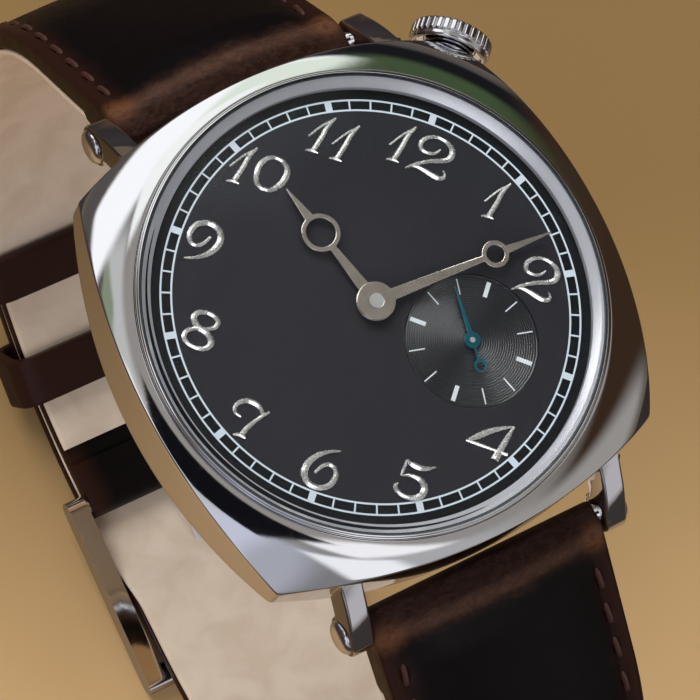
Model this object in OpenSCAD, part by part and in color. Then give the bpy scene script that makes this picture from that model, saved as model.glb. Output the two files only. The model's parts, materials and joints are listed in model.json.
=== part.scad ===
// Cushion-cased quartz wristwatch with small seconds, buckled into a closed loop.
// Origin: centre of the case back's outer face. +Z: dial side. +Y: strap half with the buckle.
// The dial is turned so that its twelve points to the corner between +X and +Y, as the crown does.

/* [Case] */
// Width across the flat of the case, side to side
case_side = 38.5; // [36.5:0.5:40]
// Width over two opposite corners of the case
case_corner = 45.4; // [44:0.2:47]
// Height of the dial's top face above the case back's outer face
dial_z = 7.4; // [7.2:0.1:8.4]
// Height of the case's top above the dial's top face
case_rise = 1.18; // [1:0.02:1.4]
// Radius of the flat on the case's top, where the doming starts
dome_flat_r = 17.3; // [17:0.1:17.6]
// Radius of the case top's doming
dome_r = 6.8; // [6.6:0.1:8]
// Thickness of the case back
back_t = 0.98; // [0.8:0.02:1.2]
// Radius of the case back's disc
back_r = 17; // [16.9:0.05:17.2]
// Height that the case's underside rises from the back's rim to the corner
under_rise = 2.1; // [1.5:0.1:2.4]
// Radius of the bore that takes the movement
bore_r = 16.3; // [16.1:0.05:16.4]
// Radius of the bore that takes the dial
dial_bore_r = 17.35; // [17.3:0.05:17.5]
// Radius of the seat that takes the bezel
bezel_seat_r = 18.37; // [18.25:0.02:18.5]
// Depth of the bezel's seat below the case's top
bezel_seat_h = 0.88; // [0.7:0.02:1]

/* [Crystal and bezel] */
// Radial width of the bezel ring
bezel_w = 0.8; // [0.6:0.05:0.9]
// Height of the bezel ring
bezel_h = 1.4; // [1.2:0.05:1.6]
// Height of the bezel's outer step
bezel_step_h = 0.95; // [0.8:0.05:1.1]
// Radial width of the bezel's outer step
bezel_step_w = 0.35; // [0.25:0.05:0.5]
// Height of the inner ring round the dial
rehaut_h = 1; // [0.8:0.05:1.1]
// Inner radius of that ring at the dial
rehaut_r = 16.55; // [16.4:0.05:16.7]
// Inner radius of that ring at its top
rehaut_top_r = 16.95; // [16.85:0.05:17.05]
// Radius of the crystal
crystal_r = 17.25; // [17.15:0.05:17.3]
// Height of the crystal's straight edge
crystal_edge = 0.8; // [0.6:0.05:1]
// Rise of the crystal's outer dome above its edge
crystal_dome = 1.2; // [0.8:0.1:1.6]
// Thickness of the crystal at its centre
crystal_t = 1.1; // [0.9:0.05:1.2]

/* [Dial] */
// Thickness of the dial plate
dial_t = 0.4; // [0.3:0.05:0.5]
// Middle radius of the printed minute track
track_r = 15.5; // [15:0.1:15.8]
// Distance of the small seconds from the dial's centre
sub_offset = 7.73; // [7.5:0.05:7.9]
// Radius of the small seconds dial
sub_r = 5.1; // [4.6:0.1:5.4]
// Depth of the small seconds dial below the dial's face
sub_recess = 0.2; // [0.1:0.02:0.24]
// Height of the applied numerals
numeral_h = 0.28; // [0.2:0.02:0.32]
// Angle of the dial's three o'clock from +X
dial_turn = -45; // [-46:1:-44]

/* [Hands] */
// Thickness of the hour and minute hands
hand_t = 0.15; // [0.1:0.01:0.2]
// Length of the hour hand
hour_len = 10.5; // [9.5:0.1:11]
// Length of the minute hand
minute_len = 14.75; // [13.5:0.05:15]
// Length of the seconds hand
seconds_len = 4.2; // [3.6:0.1:4.4]
// Distance of the hour hand's ring from its hub
hour_ring_at = 6.43; // [6:0.05:7]
// Outer radius of the hour hand's ring
hour_ring_r = 1.47; // [1.3:0.05:1.6]
// Distance of the minute hand's ring from its hub
minute_ring_at = 9.97; // [9.5:0.05:10.5]
// Outer radius of the minute hand's ring
minute_ring_r = 1.05; // [0.95:0.05:1.2]
// Width of the metal in both rings
ring_w = 0.36; // [0.3:0.02:0.42]
// Radius of the hands' hubs
hub_r = 1.45; // [1.3:0.05:1.6]
// Hour hand's angle clockwise from twelve
hour_angle = -56.5; // [-60:0.5:-50]
// Minute hand's angle clockwise from twelve
minute_angle = 47.75; // [40:0.25:55]
// Seconds hand's angle clockwise from twelve
seconds_angle = -34.8; // [-40:0.2:-30]

/* [Movement] */
// Radius of the movement
move_r = 13; // [12.9:0.05:13.2]
// Thickness of the main plate
plate_t = 1; // [0.9:0.05:1.1]
// Room for the hour and minute gearing under the dial
motion_gap = 0.7; // [0.66:0.02:0.8]
// Room for the going train between plate and bridge
train_gap = 1.9; // [1.85:0.05:2]
// Thickness of the train bridge
bridge_t = 0.5; // [0.4:0.05:0.55]
// Module of the going train's teeth
train_m = 0.12; // [0.118:0.001:0.122]
// Module of the fifth wheel and the rotor pinion
fifth_m = 0.09; // [0.085:0.001:0.093]
// Module of the cannon pinion and the minute wheel
motion_m = 0.12; // [0.118:0.002:0.13]
// Radius of the train's pivots
pivot_r = 0.15; // [0.12:0.01:0.18]
// Radius of the centre arbor
centre_r = 0.3; // [0.26:0.01:0.32]
// Radius of the cannon pinion's pipe
cannon_r = 0.55; // [0.5:0.01:0.58]
// Radius of the hour wheel's pipe
hour_pipe_r = 0.95; // [0.9:0.01:1]
// Radius of the seconds arbor where it passes the dial
seconds_r = 0.2; // [0.18:0.01:0.24]
// Radius of the battery
battery_r = 4.75; // [4.4:0.05:4.8]
// Height of the battery
battery_h = 2.1; // [1.9:0.05:2.15]

/* [Crown] */
// Height of the crown's axis above the case back's outer face
stem_z = 4.2; // [4.1:0.05:4.4]
// Radius of the crown over its flutes
crown_r = 3.2; // [3:0.05:3.3]
// Width of the crown's fluted band
crown_band = 1.1; // [1:0.05:1.2]
// Number of flutes round the crown
flutes = 34; // [30:1:38]
// Distance of the crown's fluted band beyond the case's corner
crown_out = 0.35; // [0.35:0.05:0.6]
// Depth of the crown's hollow skirt below its band
crown_skirt = 0.7; // [0.5:0.05:0.7]
// Radius of the collar on the case
collar_r = 2.1; // [1.9:0.1:2.3]
// Distance of the collar's outer face beyond the case's corner
collar_out = 0.15; // [0.05:0.05:0.2]
// Radius of the stem
stem_r = 0.45; // [0.4:0.01:0.5]
// Distance that the crown pulls out
crown_pull = 0.9; // [0.6:0.1:1]

/* [Lugs] */
// Gap between the strap and either lug
lug_clear = 0.15; // [0.1:0.01:0.3]
// Width of one lug
lug_w = 1.8; // [1.5:0.1:2]
// Radius of the lug's rounded end
lug_r = 1.8; // [1.6:0.05:1.9]
// Thickness of the lug's arm
lug_arm = 2.5; // [2.2:0.1:2.7]
// Distance of the lug bars beyond the flat of the case
bar_out = 1.25; // [1.15:0.05:1.95]
// Height of the lug bars above the case back's outer face
bar_z = 1.9; // [1.7:0.1:2.2]
// Radius of the lug bars
bar_r = 0.75; // [0.6:0.05:0.8]
// Radius of the lug bars' domed heads
bar_head_r = 1.35; // [1.2:0.05:1.4]
// Height of those heads
bar_head_h = 0.5; // [0.4:0.05:0.55]

/* [Strap] */
// Width of the strap at the lugs
strap_w = 20; // [19:0.1:20]
// Width of the strap at the buckle
strap_end_w = 18; // [17:0.1:18.2]
// Thickness of the strap away from the padding
strap_t = 2.4; // [2.2:0.1:2.5]
// Thickness of the lining
lining_t = 0.7; // [0.5:0.05:0.8]
// Extra height of the padding at the lugs
pad_h = 1.6; // [1.2:0.1:2]
// Length over which the padding runs out
pad_len = 32; // [28:1:40]
// Extra depth of the padding on the strap's underside
pad_under = 0.6; // [0.4:0.05:0.7]
// Furthest reach of the strap half with the buckle
reach_upper = 37.5; // [36:0.5:39]
// Furthest reach of the other strap half
reach_lower = 40.5; // [39:0.5:42]
// Depth of the loop's bottom below the case back
loop_z = 62.5; // [60:0.5:66]
// Slope at which the strap leaves the case, in degrees
entry_slope = 19; // [18:0.5:21]
// Radius of the small bend over the lug bar
entry_bend = 5; // [4:0.5:6]
// Slope of the buckle's half beyond that bend
upper_slope = 46; // [43:1:48]
// Slope of the other half there
lower_slope = 32; // [30:1:36]
// Radius of the strap's bend from that slope to the line down
top_bend = 22; // [20:0.5:24]
// Radius of the strap's bend at the bottom
low_bend = 32; // [30:0.5:33]
// Angle round the lower bend at which the tail ends
tail_angle = 56; // [52:1:60]
// Spacing of the strap's holes
hole_pitch = 7; // [6:0.5:8]
// Number of holes beside the one in use
spare_holes = 5; // [3:1:5]

/* [Buckle and keepers] */
// Distance from the buckle's bar to its far rim
buckle_len = 17; // [16:0.5:18]
// Width of the buckle's rails
rail_w = 1.8; // [1.5:0.1:2]
// Radius of the buckle's rim
rim_r = 1.2; // [1.1:0.05:1.3]
// Radius of the buckle's bar
buckle_bar_r = 0.75; // [0.6:0.05:0.8]
// Width of the tongue
tongue_w = 1.7; // [1.5:0.1:1.8]
// Thickness of the tongue
tongue_t = 1; // [0.8:0.1:1.1]
// Length of a keeper along the strap
keeper_w = 5; // [4:0.5:6]
// Thickness of a keeper's leather
keeper_t = 1.2; // [1:0.1:1.4]
// Angle of the fixed keeper round the lower bend
fixed_keeper_at = 23; // [22:1:25]
// Angle of the floating keeper round the lower bend
float_keeper_at = 43; // [42:1:45]

/* [Fits] */
// Radial clearance of a turning fit
run_gap = 0.02; // [0.02:0.01:0.03]
// Clearance of a pressed or seated fit
seat_gap = 0.02; // [0.01:0.005:0.03]
// Clearance round soft pieces
soft_gap = 0.3; // [0.25:0.05:0.35]

/* [Hidden] */
$fn = 64;
steel = [0.80, 0.80, 0.82];
brass = [0.80, 0.66, 0.36];
leather = [0.20, 0.10, 0.07];
tan_leather = [0.74, 0.66, 0.56];

// Heights through the case
case_top = dial_z + case_rise;
bezel_z = case_top - bezel_seat_h;
dial_under = dial_z - dial_t;
plate_top = dial_under - motion_gap;
plate_z = plate_top - plate_t;
bridge_top = plate_z - train_gap;
bridge_z = bridge_top - bridge_t;
crystal_z = dial_z + rehaut_h;
half_side = case_side / 2;
bar_y = half_side + bar_out;
lug_gap = strap_w + 2 * lug_clear;
corner = case_corner / 2 / sqrt(2);
side_bulge = half_side - corner;
side_arc_r = (corner * corner + side_bulge * side_bulge) / (2 * side_bulge);
corner_out = case_corner / 2;
crown_at = corner_out + crown_out;
collar_at = corner_out + collar_out;
cut = 60;

function polar(r, a) = [r * cos(a), r * sin(a)];
function smooth(u) = let (v = min(max(u, 0), 1)) v * v * (3 - 2 * v);
// Plan angle of a clock direction given clockwise from twelve
function clock(a) = dial_turn + 90 - a;

// Places of the arbors. Each distance is half the sum of the teeth that mesh, times their module.
centre_teeth = 64;
third_pinion_teeth = 8;
third_teeth = 60;
seconds_pinion_teeth = 8;
seconds_teeth = 30;
fifth_pinion_teeth = 6;
fifth_teeth = 36;
rotor_teeth = 6;
cannon_teeth = 12;
minute_teeth = 36;
minute_pinion_teeth = 10;
hour_teeth = 40;
centre_third = train_m * (centre_teeth + third_pinion_teeth) / 2;
third_seconds = train_m * (third_teeth + seconds_pinion_teeth) / 2;
seconds_fifth = train_m * (seconds_teeth + fifth_pinion_teeth) / 2;
fifth_rotor = fifth_m * (fifth_teeth + rotor_teeth) / 2;
cannon_minute = motion_m * (cannon_teeth + minute_teeth) / 2;
hour_m = 2 * cannon_minute / (minute_pinion_teeth + hour_teeth);
third_turn = acos((sub_offset * sub_offset + centre_third * centre_third - third_seconds * third_seconds)
  / (2 * sub_offset * centre_third));
fifth_turn = -110;
rotor_turn = 190;
minute_turn = 100;
seconds_at = polar(sub_offset, dial_turn);
third_at = polar(centre_third, dial_turn + third_turn);
fifth_at = seconds_at + polar(seconds_fifth, fifth_turn);
rotor_at = fifth_at + polar(fifth_rotor, rotor_turn);
minute_at = polar(cannon_minute, minute_turn);
third_to_seconds = atan2(seconds_at[1] - third_at[1], seconds_at[0] - third_at[0]);

// Heights of the wheels, measured down from the main plate's underside
wheel_t = 0.2;
centre_wheel_z = plate_z - 0.35;
third_wheel_z = plate_z - 0.75;
fifth_wheel_z = plate_z - 1.15;
seconds_wheel_z = plate_z - 1.6;
pinion_over = 0.1;
stator_z = plate_z - 1.7;
stator_t = 0.3;

// Hands, stacked above the dial
seconds_hand_z = dial_z + 0.08;
hour_hand_z = dial_z + 0.42;
minute_hand_z = hour_hand_z + hand_t + 0.15;
arbor_top = minute_hand_z + hand_t + 0.1;

// Other places in the movement
move_share = move_r / 13;
battery_at = polar(6.9, 138) * move_share;
battery_z = plate_z - 0.7 - battery_h;
coil_y = -9.6 * move_share;
coil_x0 = -5.8 * move_share;
coil_x1 = 1.6 * move_share;
coil_z = stator_z + stator_t + 0.2;
bar_of_stator_y = -7.2 * move_share;
post_at = [[-2.2, -4.4], [10.6, 1], [8.4, -7.2]] * move_share;
clamp_at = [0.6, 1.9] * move_share;
board_t = 0.22;

// Stem, all measured along the crown's axis
stem_end = 6.6;
clutch_at = 8.2;
clutch_len = 1.3;
groove_at = 11;
groove_w = 0.5;
lever_arm = 2.5;
tube_r = 0.95;
collar_in = corner_out - 1;

// A cylinder that lies along X
module rod_x(r, x0, x1) {
  translate([x0, 0, 0]) rotate([0, 90, 0]) cylinder(r = r, h = x1 - x0);
}

// Puts its children on the crown's axis, with local X pointing outwards
module on_stem() {
  translate([0, 0, stem_z]) rotate([0, 0, dial_turn + 90]) children();
}

// A flat outline in Y and Z, stretched along X
module slab_x(x0, x1) {
  translate([x0, 0, 0]) rotate([90, 0, 90]) linear_extrude(height = x1 - x0) children();
}

module ring(r_out, r_in, z0, z1) {
  difference() {
    translate([0, 0, z0]) cylinder(r = r_out, h = z1 - z0, $fn = 96);
    translate([0, 0, z0 - 1]) cylinder(r = r_in, h = z1 - z0 + 2, $fn = 96);
  }
}

// Straight-sided teeth: four points a tooth, wide at the root and narrow at the tip
function tooth_points(teeth, m) = let (
    pitch_r = teeth * m / 2,
    root_r = pitch_r - 1.2 * m,
    tip_r = pitch_r + 0.85 * m,
    step = 360 / teeth)
  [for (i = [0 : teeth - 1], k = [0 : 3])
    polar(k == 0 || k == 3 ? root_r : tip_r, i * step + [-0.27, -0.1, 0.1, 0.27][k] * step)];

// A toothed wheel with one tooth pointing along "phase"
module gear(teeth, m, z0, t, phase) {
  translate([0, 0, z0]) rotate([0, 0, phase])
    linear_extrude(height = t) polygon(tooth_points(teeth, m));
}

// Cushion outline: four large arcs that meet in sharp corners
module cushion(grow) {
  intersection_for (a = [0, 90, 180, 270]) rotate([0, 0, a])
    translate([half_side - side_arc_r, 0, -1]) cylinder(r = side_arc_r + grow, h = 12, $fn = 180);
}

module case_middle() color(steel) {
  difference() {
    intersection() {
      cushion(0);
      union() {
        translate([0, 0, case_top - dome_r]) rotate_extrude($fn = 96)
          translate([dome_flat_r, 0]) circle(r = dome_r);
        cylinder(r = dome_flat_r, h = case_top, $fn = 96);
      }
    }
    // Conical underside
    rotate_extrude($fn = 96) polygon([
      [0, -cut], [cut, -cut], [cut, back_t + under_rise * (cut - back_r - 0.2) / (case_corner / 2 - back_r - 0.2)],
      [back_r + 0.2, back_t + seat_gap], [0, back_t + seat_gap]]);
    cylinder(r = bore_r, h = dial_under, $fn = 96);
    translate([0, 0, dial_under - 0.001]) cylinder(r = dial_bore_r, h = cut, $fn = 96);
    translate([0, 0, bezel_z]) cylinder(r = bezel_seat_r, h = cut, $fn = 96);
    on_stem() rod_x(tube_r + seat_gap, bore_r - 2, cut);
    on_stem() rod_x(collar_r + seat_gap, collar_in, cut);
  }
}

// One lug's side outline: a round end on the bar and a straight arm up to the case wall
lug_top = bar_z + bar_y + lug_r * sqrt(2);
lug_low = lug_top - lug_arm * sqrt(2);
lug_root = half_side - 2.05;
module lug_outline() {
  difference() {
    union() {
      translate([bar_y, bar_z]) circle(r = lug_r);
      polygon([
        [lug_root, lug_top - lug_root], [lug_root, lug_low - lug_root],
        [bar_y - lug_r * sqrt(0.5) * 0.45, lug_low - bar_y + lug_r * sqrt(0.5) * 0.45],
        [bar_y, bar_z], [bar_y + lug_r * sqrt(0.5), bar_z + lug_r * sqrt(0.5)]]);
    }
    translate([bar_y, bar_z]) circle(r = bar_r + run_gap);
  }
}

module lugs() color(steel) {
  difference() {
    for (side = [0, 1], end = [0, 1]) mirror([side, 0, 0]) mirror([0, end, 0])
      slab_x(lug_gap / 2, lug_gap / 2 + lug_w) lug_outline();
    cushion(seat_gap);
  }
}

module bezel_ring() color(steel) {
  z0 = bezel_z + seat_gap;
  out = bezel_seat_r - seat_gap;
  rotate_extrude($fn = 96) polygon([
    [out - bezel_w, z0], [out, z0], [out, z0 + bezel_step_h - 0.1], [out - 0.1, z0 + bezel_step_h],
    [out - bezel_step_w, z0 + bezel_step_h], [out - bezel_step_w, z0 + bezel_h - 0.12],
    [out - bezel_step_w - 0.12, z0 + bezel_h], [out - bezel_w, z0 + bezel_h]]);
}

module rehaut_ring() color(steel) {
  rotate_extrude($fn = 96) polygon([
    [rehaut_r, dial_z + 0.005], [dial_bore_r - 0.05, dial_z + 0.005],
    [dial_bore_r - 0.05, crystal_z - 0.005], [rehaut_top_r, crystal_z - 0.005]]);
}

// Sphere whose cap of radius r rises by "rise", with its rim at height z
module dome_ball(r, rise, z) {
  ball = (r * r + rise * rise) / (2 * rise);
  translate([0, 0, z + rise - ball]) sphere(r = ball, $fn = 180);
}

module crystal() color([0.85, 0.9, 0.95, 0.35]) {
  inner_rise = crystal_edge + crystal_dome - crystal_t;
  difference() {
    intersection() {
      translate([0, 0, crystal_z]) cylinder(r = crystal_r, h = crystal_edge + crystal_dome + 1, $fn = 96);
      dome_ball(crystal_r, crystal_dome, crystal_z + crystal_edge);
    }
    intersection() {
      translate([0, 0, crystal_z - 1]) cylinder(r = rehaut_top_r - 0.1, h = 6, $fn = 96);
      dome_ball(rehaut_top_r - 0.1, inner_rise, crystal_z);
    }
  }
}

module crystal_gasket() color([0.9, 0.9, 0.9]) {
  ring(bezel_seat_r - seat_gap - bezel_w - 0.01, crystal_r + 0.01, crystal_z + 0.01, bezel_z + bezel_h);
}

module case_back() color(steel) {
  lip_out = bore_r - 0.42;
  difference() {
    union() {
      rotate_extrude($fn = 96) polygon([
        [0, 0], [back_r - 0.5, 0], [back_r, 0.4], [back_r, back_t], [0, back_t]]);
      translate([0, 0, back_t - 0.1]) cylinder(r = lip_out, h = 1.1, $fn = 96);
    }
    translate([0, 0, back_t]) cylinder(r = lip_out - 0.7, h = 2, $fn = 96);
  }
}

module case_back_gasket() color([0.1, 0.1, 0.1]) {
  ring(bore_r - 0.01, bore_r - 0.41, back_t + 0.03, back_t + 0.5);
}

module dial_plate() color([0.13, 0.13, 0.14]) {
  difference() {
    union() {
      translate([0, 0, dial_under]) cylinder(r = dial_bore_r - 0.1, h = dial_t, $fn = 96);
      // Two feet that fix the dial to the main plate
      for (a = [60, 240]) translate([11 * cos(a), 11 * sin(a), plate_top - 0.5])
        cylinder(r = 0.35, h = dial_under - plate_top + 0.6, $fn = 32);
    }
    translate([0, 0, dial_under - 1]) cylinder(r = hour_pipe_r + 0.15, h = 3, $fn = 48);
    translate([seconds_at[0], seconds_at[1], dial_under - 1]) cylinder(r = sub_r + seat_gap, h = 3, $fn = 96);
  }
}

module seconds_dial() color([0.17, 0.17, 0.18]) {
  translate([seconds_at[0], seconds_at[1], 0]) difference() {
    translate([0, 0, dial_under]) cylinder(r = sub_r, h = dial_t - sub_recess, $fn = 96);
    translate([0, 0, dial_under - 1]) cylinder(r = seconds_r + 0.15, h = 3, $fn = 32);
  }
}

// The numerals are drawn for a minute track of this radius, and grow with the track
numeral_share = track_r / 15.5;
// Strokes of each numeral: points [across, up, width] in millimetres about the numeral's middle
one_strokes = [
  [[0.75, 1.65, 0.16], [0.35, 0.7, 0.32], [0.2, -0.15, 0.36], [-0.1, -1.4, 0.36]],
  [[0.65, 1.5, 0.12], [0, 0.75, 0.16], [-0.75, -0.45, 0.14]],
  [[-0.65, -1.6, 0.1], [-0.2, -1.45, 0.24], [0.3, -1.5, 0.1]]];
two_strokes = [
  [[0.55, 0.75, 0.14], [0.2, 0.3, 0.22], [-0.35, 0.15, 0.26], [-0.85, 0.3, 0.32], [-0.98, 0.8, 0.36],
   [-0.65, 1.3, 0.3], [0, 1.6, 0.26], [0.7, 1.55, 0.3], [1.3, 1.2, 0.4], [1.5, 0.7, 0.46],
   [1.35, 0.25, 0.42], [0.9, -0.05, 0.36], [0.1, -0.4, 0.3], [-0.65, -0.85, 0.26], [-1.2, -1.3, 0.22],
   [-1.55, -1.6, 0.1]],
  [[-1.15, -1.28, 0.16], [-0.75, -1.2, 0.26], [-0.2, -1.25, 0.32], [0.45, -1.38, 0.38],
   [1, -1.45, 0.36], [1.38, -1.3, 0.3], [1.42, -1, 0.18], [1.2, -0.75, 0.08]]];
four_strokes = [
  [[1.55, 1.45, 0.1], [0.75, 1.05, 0.28], [-0.2, 0.4, 0.42], [-0.95, -0.3, 0.4], [-1.6, -0.8, 0.1]],
  [[-1.6, -0.8, 0.1], [-0.75, -0.75, 0.26], [0.7, -0.75, 0.18], [1.15, -0.75, 0.2], [1.65, -0.75, 0.28]],
  [[1.55, 1.42, 0.16], [1.3, 0.5, 0.38], [1.05, -0.6, 0.48], [0.85, -1.45, 0.6]]];
five_strokes = [
  [[-0.95, 1.25, 0.1], [-0.55, 1.05, 0.36], [0.1, 0.98, 0.4], [0.65, 1.1, 0.32], [1.25, 1.45, 0.08]],
  [[-0.95, 1.2, 0.12], [-0.97, 0.5, 0.26], [-1.05, -0.05, 0.14]],
  [[-1.05, -0.05, 0.1], [-0.35, 0.2, 0.24], [0.35, 0.15, 0.38], [0.85, -0.25, 0.5], [0.85, -0.9, 0.5],
   [0.35, -1.32, 0.38], [-0.4, -1.42, 0.32], [-1, -1.2, 0.32], [-1.2, -0.9, 0.3], [-1.08, -0.65, 0.14]]];
six_strokes = [
  [[0.95, 1.6, 0.12], [0.2, 1.3, 0.24], [-0.55, 0.75, 0.38], [-1.05, 0, 0.48], [-1.15, -0.7, 0.5],
   [-0.9, -1.25, 0.46], [-0.35, -1.55, 0.42], [0.3, -1.5, 0.4], [0.88, -1.1, 0.42], [1.12, -0.4, 0.42],
   [0.95, 0.15, 0.34], [0.55, 0.38, 0.3], [0.15, 0.25, 0.28], [-0.15, -0.1, 0.26], [-0.4, -0.6, 0.2]]];
seven_strokes = [
  [[-0.6, 0.05, 0.12], [-1.05, 0.2, 0.24], [-1.22, 0.6, 0.3], [-1, 1.05, 0.34], [-0.5, 1.35, 0.36],
   [0.1, 1.35, 0.38], [0.55, 1.15, 0.34], [0.9, 0.75, 0.2]],
  [[1.25, 1.1, 0.16], [0.85, 0.65, 0.26], [0.4, 0, 0.3], [0.05, -0.65, 0.36], [-0.15, -1.25, 0.42]],
  [[-0.75, -1.4, 0.12], [-0.3, -1.25, 0.28], [0.2, -1.35, 0.12]]];
eight_strokes = [
  [[-0.2, 0.05, 0.3], [0.35, 0.2, 0.26], [0.88, 0.5, 0.32], [1, 0.98, 0.38], [0.6, 1.32, 0.32], [-0.05, 1.4, 0.3]],
  [[0.1, 1.4, 0.3], [-0.5, 1.22, 0.36], [-0.78, 0.78, 0.44], [-0.5, 0.3, 0.44], [0.1, -0.02, 0.4]],
  [[-0.1, 0.1, 0.4], [0.62, -0.18, 0.42], [1, -0.65, 0.46], [0.75, -1.2, 0.38], [0.1, -1.4, 0.3]],
  [[0.25, -1.4, 0.3], [-0.5, -1.32, 0.3], [-1, -0.95, 0.38], [-0.92, -0.38, 0.34], [-0.35, -0.02, 0.24],
   [0.1, 0.12, 0.24]]];
nine_strokes = [for (s = six_strokes) [for (p = s) [-p[0], -p[1], p[2]]]];
zero_strokes = [
  [[0.3, 1.32, 0.26], [-0.2, 1.32, 0.28], [-0.7, 1.02, 0.34], [-1.03, 0.4, 0.4], [-1.05, -0.35, 0.4],
   [-0.85, -1, 0.34], [-0.4, -1.3, 0.28], [-0.05, -1.3, 0.28]],
  [[-0.4, -1.3, 0.26], [0.25, -1.22, 0.32], [0.8, -0.6, 0.44], [1.05, 0.15, 0.48], [0.98, 0.8, 0.42],
   [0.5, 1.25, 0.3], [-0.05, 1.33, 0.26]]];

// Point on a smooth curve through the list, a share u of the way from point i to point i + 1
function curve_at(p, i, u) = let (
    a = p[max(i - 1, 0)], b = p[i], c = p[i + 1], d = p[min(i + 2, len(p) - 1)])
  0.5 * (2 * b + (c - a) * u + (2 * a - 5 * b + 4 * c - d) * u * u + (3 * b - a - 3 * c + d) * u * u * u);
function curve(p, cuts) = concat(
  [for (i = [0 : len(p) - 2], k = [0 : cuts - 1]) curve_at(p, i, k / cuts)], [p[len(p) - 1]]);
function side_of(c, i, s) = let (
    a = c[max(i - 1, 0)], b = c[min(i + 1, len(c) - 1)],
    d = [b[0] - a[0], b[1] - a[1]] / norm([b[0] - a[0], b[1] - a[1]]))
  [c[i][0] - s * d[1] * c[i][2] / 2, c[i][1] + s * d[0] * c[i][2] / 2];
function stroke_outline(p) = let (c = curve(p, 2), n = len(c) - 1) concat(
  [for (i = [0 : n]) side_of(c, i, 1)], [for (i = [0 : n]) side_of(c, n - i, -1)]);

// A numeral at [across, up] from the dial's centre
module numeral(strokes, at) {
  translate([at[0], at[1], 0] * numeral_share) linear_extrude(height = numeral_h)
    for (s = strokes) polygon(stroke_outline(s) * numeral_share);
}

module numerals() color(steel) {
  translate([0, 0, dial_z + 0.005]) rotate([0, 0, dial_turn]) {
    numeral(one_strokes, [-1.75, 12.6]);
    numeral(two_strokes, [0.7, 12.5]);
    numeral(one_strokes, [6.3, 11.05]);
    numeral(two_strokes, [10.95, 6.4]);
    numeral(four_strokes, [11.05, -6.6]);
    numeral(five_strokes, [6.7, -11.55]);
    numeral(six_strokes, [0.05, -13.05]);
    numeral(seven_strokes, [-6.05, -11.65]);
    numeral(eight_strokes, [-11.35, -6.5]);
    numeral(nine_strokes, [-13.25, -0.2]);
    numeral(one_strokes, [-12.45, 6.55]);
    numeral(zero_strokes, [-10.1, 6.65]);
    numeral(one_strokes, [-7.65, 11]);
    numeral(one_strokes, [-5.8, 11.05]);
  }
}

// A hand along +X: hub, tapering arm, open ring, tapering tip
module hand(len, ring_at, ring_r, arm_w, tip_w, bore) {
  difference() {
    union() {
      cylinder(r = hub_r, h = hand_t);
      translate([ring_at, 0, 0]) cylinder(r = ring_r, h = hand_t);
      linear_extrude(height = hand_t) polygon([
        [0, -arm_w], [0, arm_w], [ring_at - ring_r + 0.1, arm_w * 0.45], [ring_at - ring_r + 0.1, -arm_w * 0.45]]);
      linear_extrude(height = hand_t) polygon([
        [ring_at + ring_r - 0.1, -tip_w], [ring_at + ring_r - 0.1, tip_w], [len, 0.06], [len, -0.06]]);
    }
    translate([ring_at, 0, -1]) cylinder(r = ring_r - ring_w, h = 3);
    translate([0, 0, -1]) cylinder(r = bore, h = 3);
  }
}

module hour_hand() color(steel) {
  translate([0, 0, hour_hand_z]) rotate([0, 0, clock(hour_angle)])
    hand(hour_len, hour_ring_at, hour_ring_r, 0.55, 0.38, hour_pipe_r + seat_gap / 2);
}

module minute_hand() color(steel) {
  translate([0, 0, minute_hand_z]) rotate([0, 0, clock(minute_angle)])
    hand(minute_len, minute_ring_at, minute_ring_r, 0.5, 0.32, cannon_r + seat_gap / 2);
}

module seconds_hand() color([0.05, 0.35, 0.42]) {
  tail = 1.65;
  translate([seconds_at[0], seconds_at[1], seconds_hand_z]) rotate([0, 0, clock(seconds_angle)]) difference() {
    union() {
      cylinder(r = 0.62, h = 0.12);
      linear_extrude(height = 0.12) polygon([[0, -0.22], [0, 0.22], [seconds_len, 0.04], [seconds_len, -0.04]]);
      linear_extrude(height = 0.12) polygon([[0, -0.12], [-tail, -0.09], [-tail, 0.09], [0, 0.12]]);
      translate([-tail - 0.35, 0, 0]) cylinder(r = 0.5, h = 0.12);
    }
    translate([-tail - 0.42, 0, -1]) cylinder(r = 0.32, h = 3);
    translate([0, 0, -1]) cylinder(r = seconds_r + seat_gap / 2, h = 3);
  }
}

module movement_holder() color([0.9, 0.9, 0.88]) {
  difference() {
    ring(bore_r - 0.1, move_r + seat_gap * 2, back_t + 1.02, dial_under - 0.01);
    translate([0, 0, plate_top - 0.52]) cylinder(r = move_r + 0.62, h = 4, $fn = 96);
    on_stem() rod_x(tube_r + 0.05, move_r - 2, bore_r + 1);
  }
}

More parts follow.
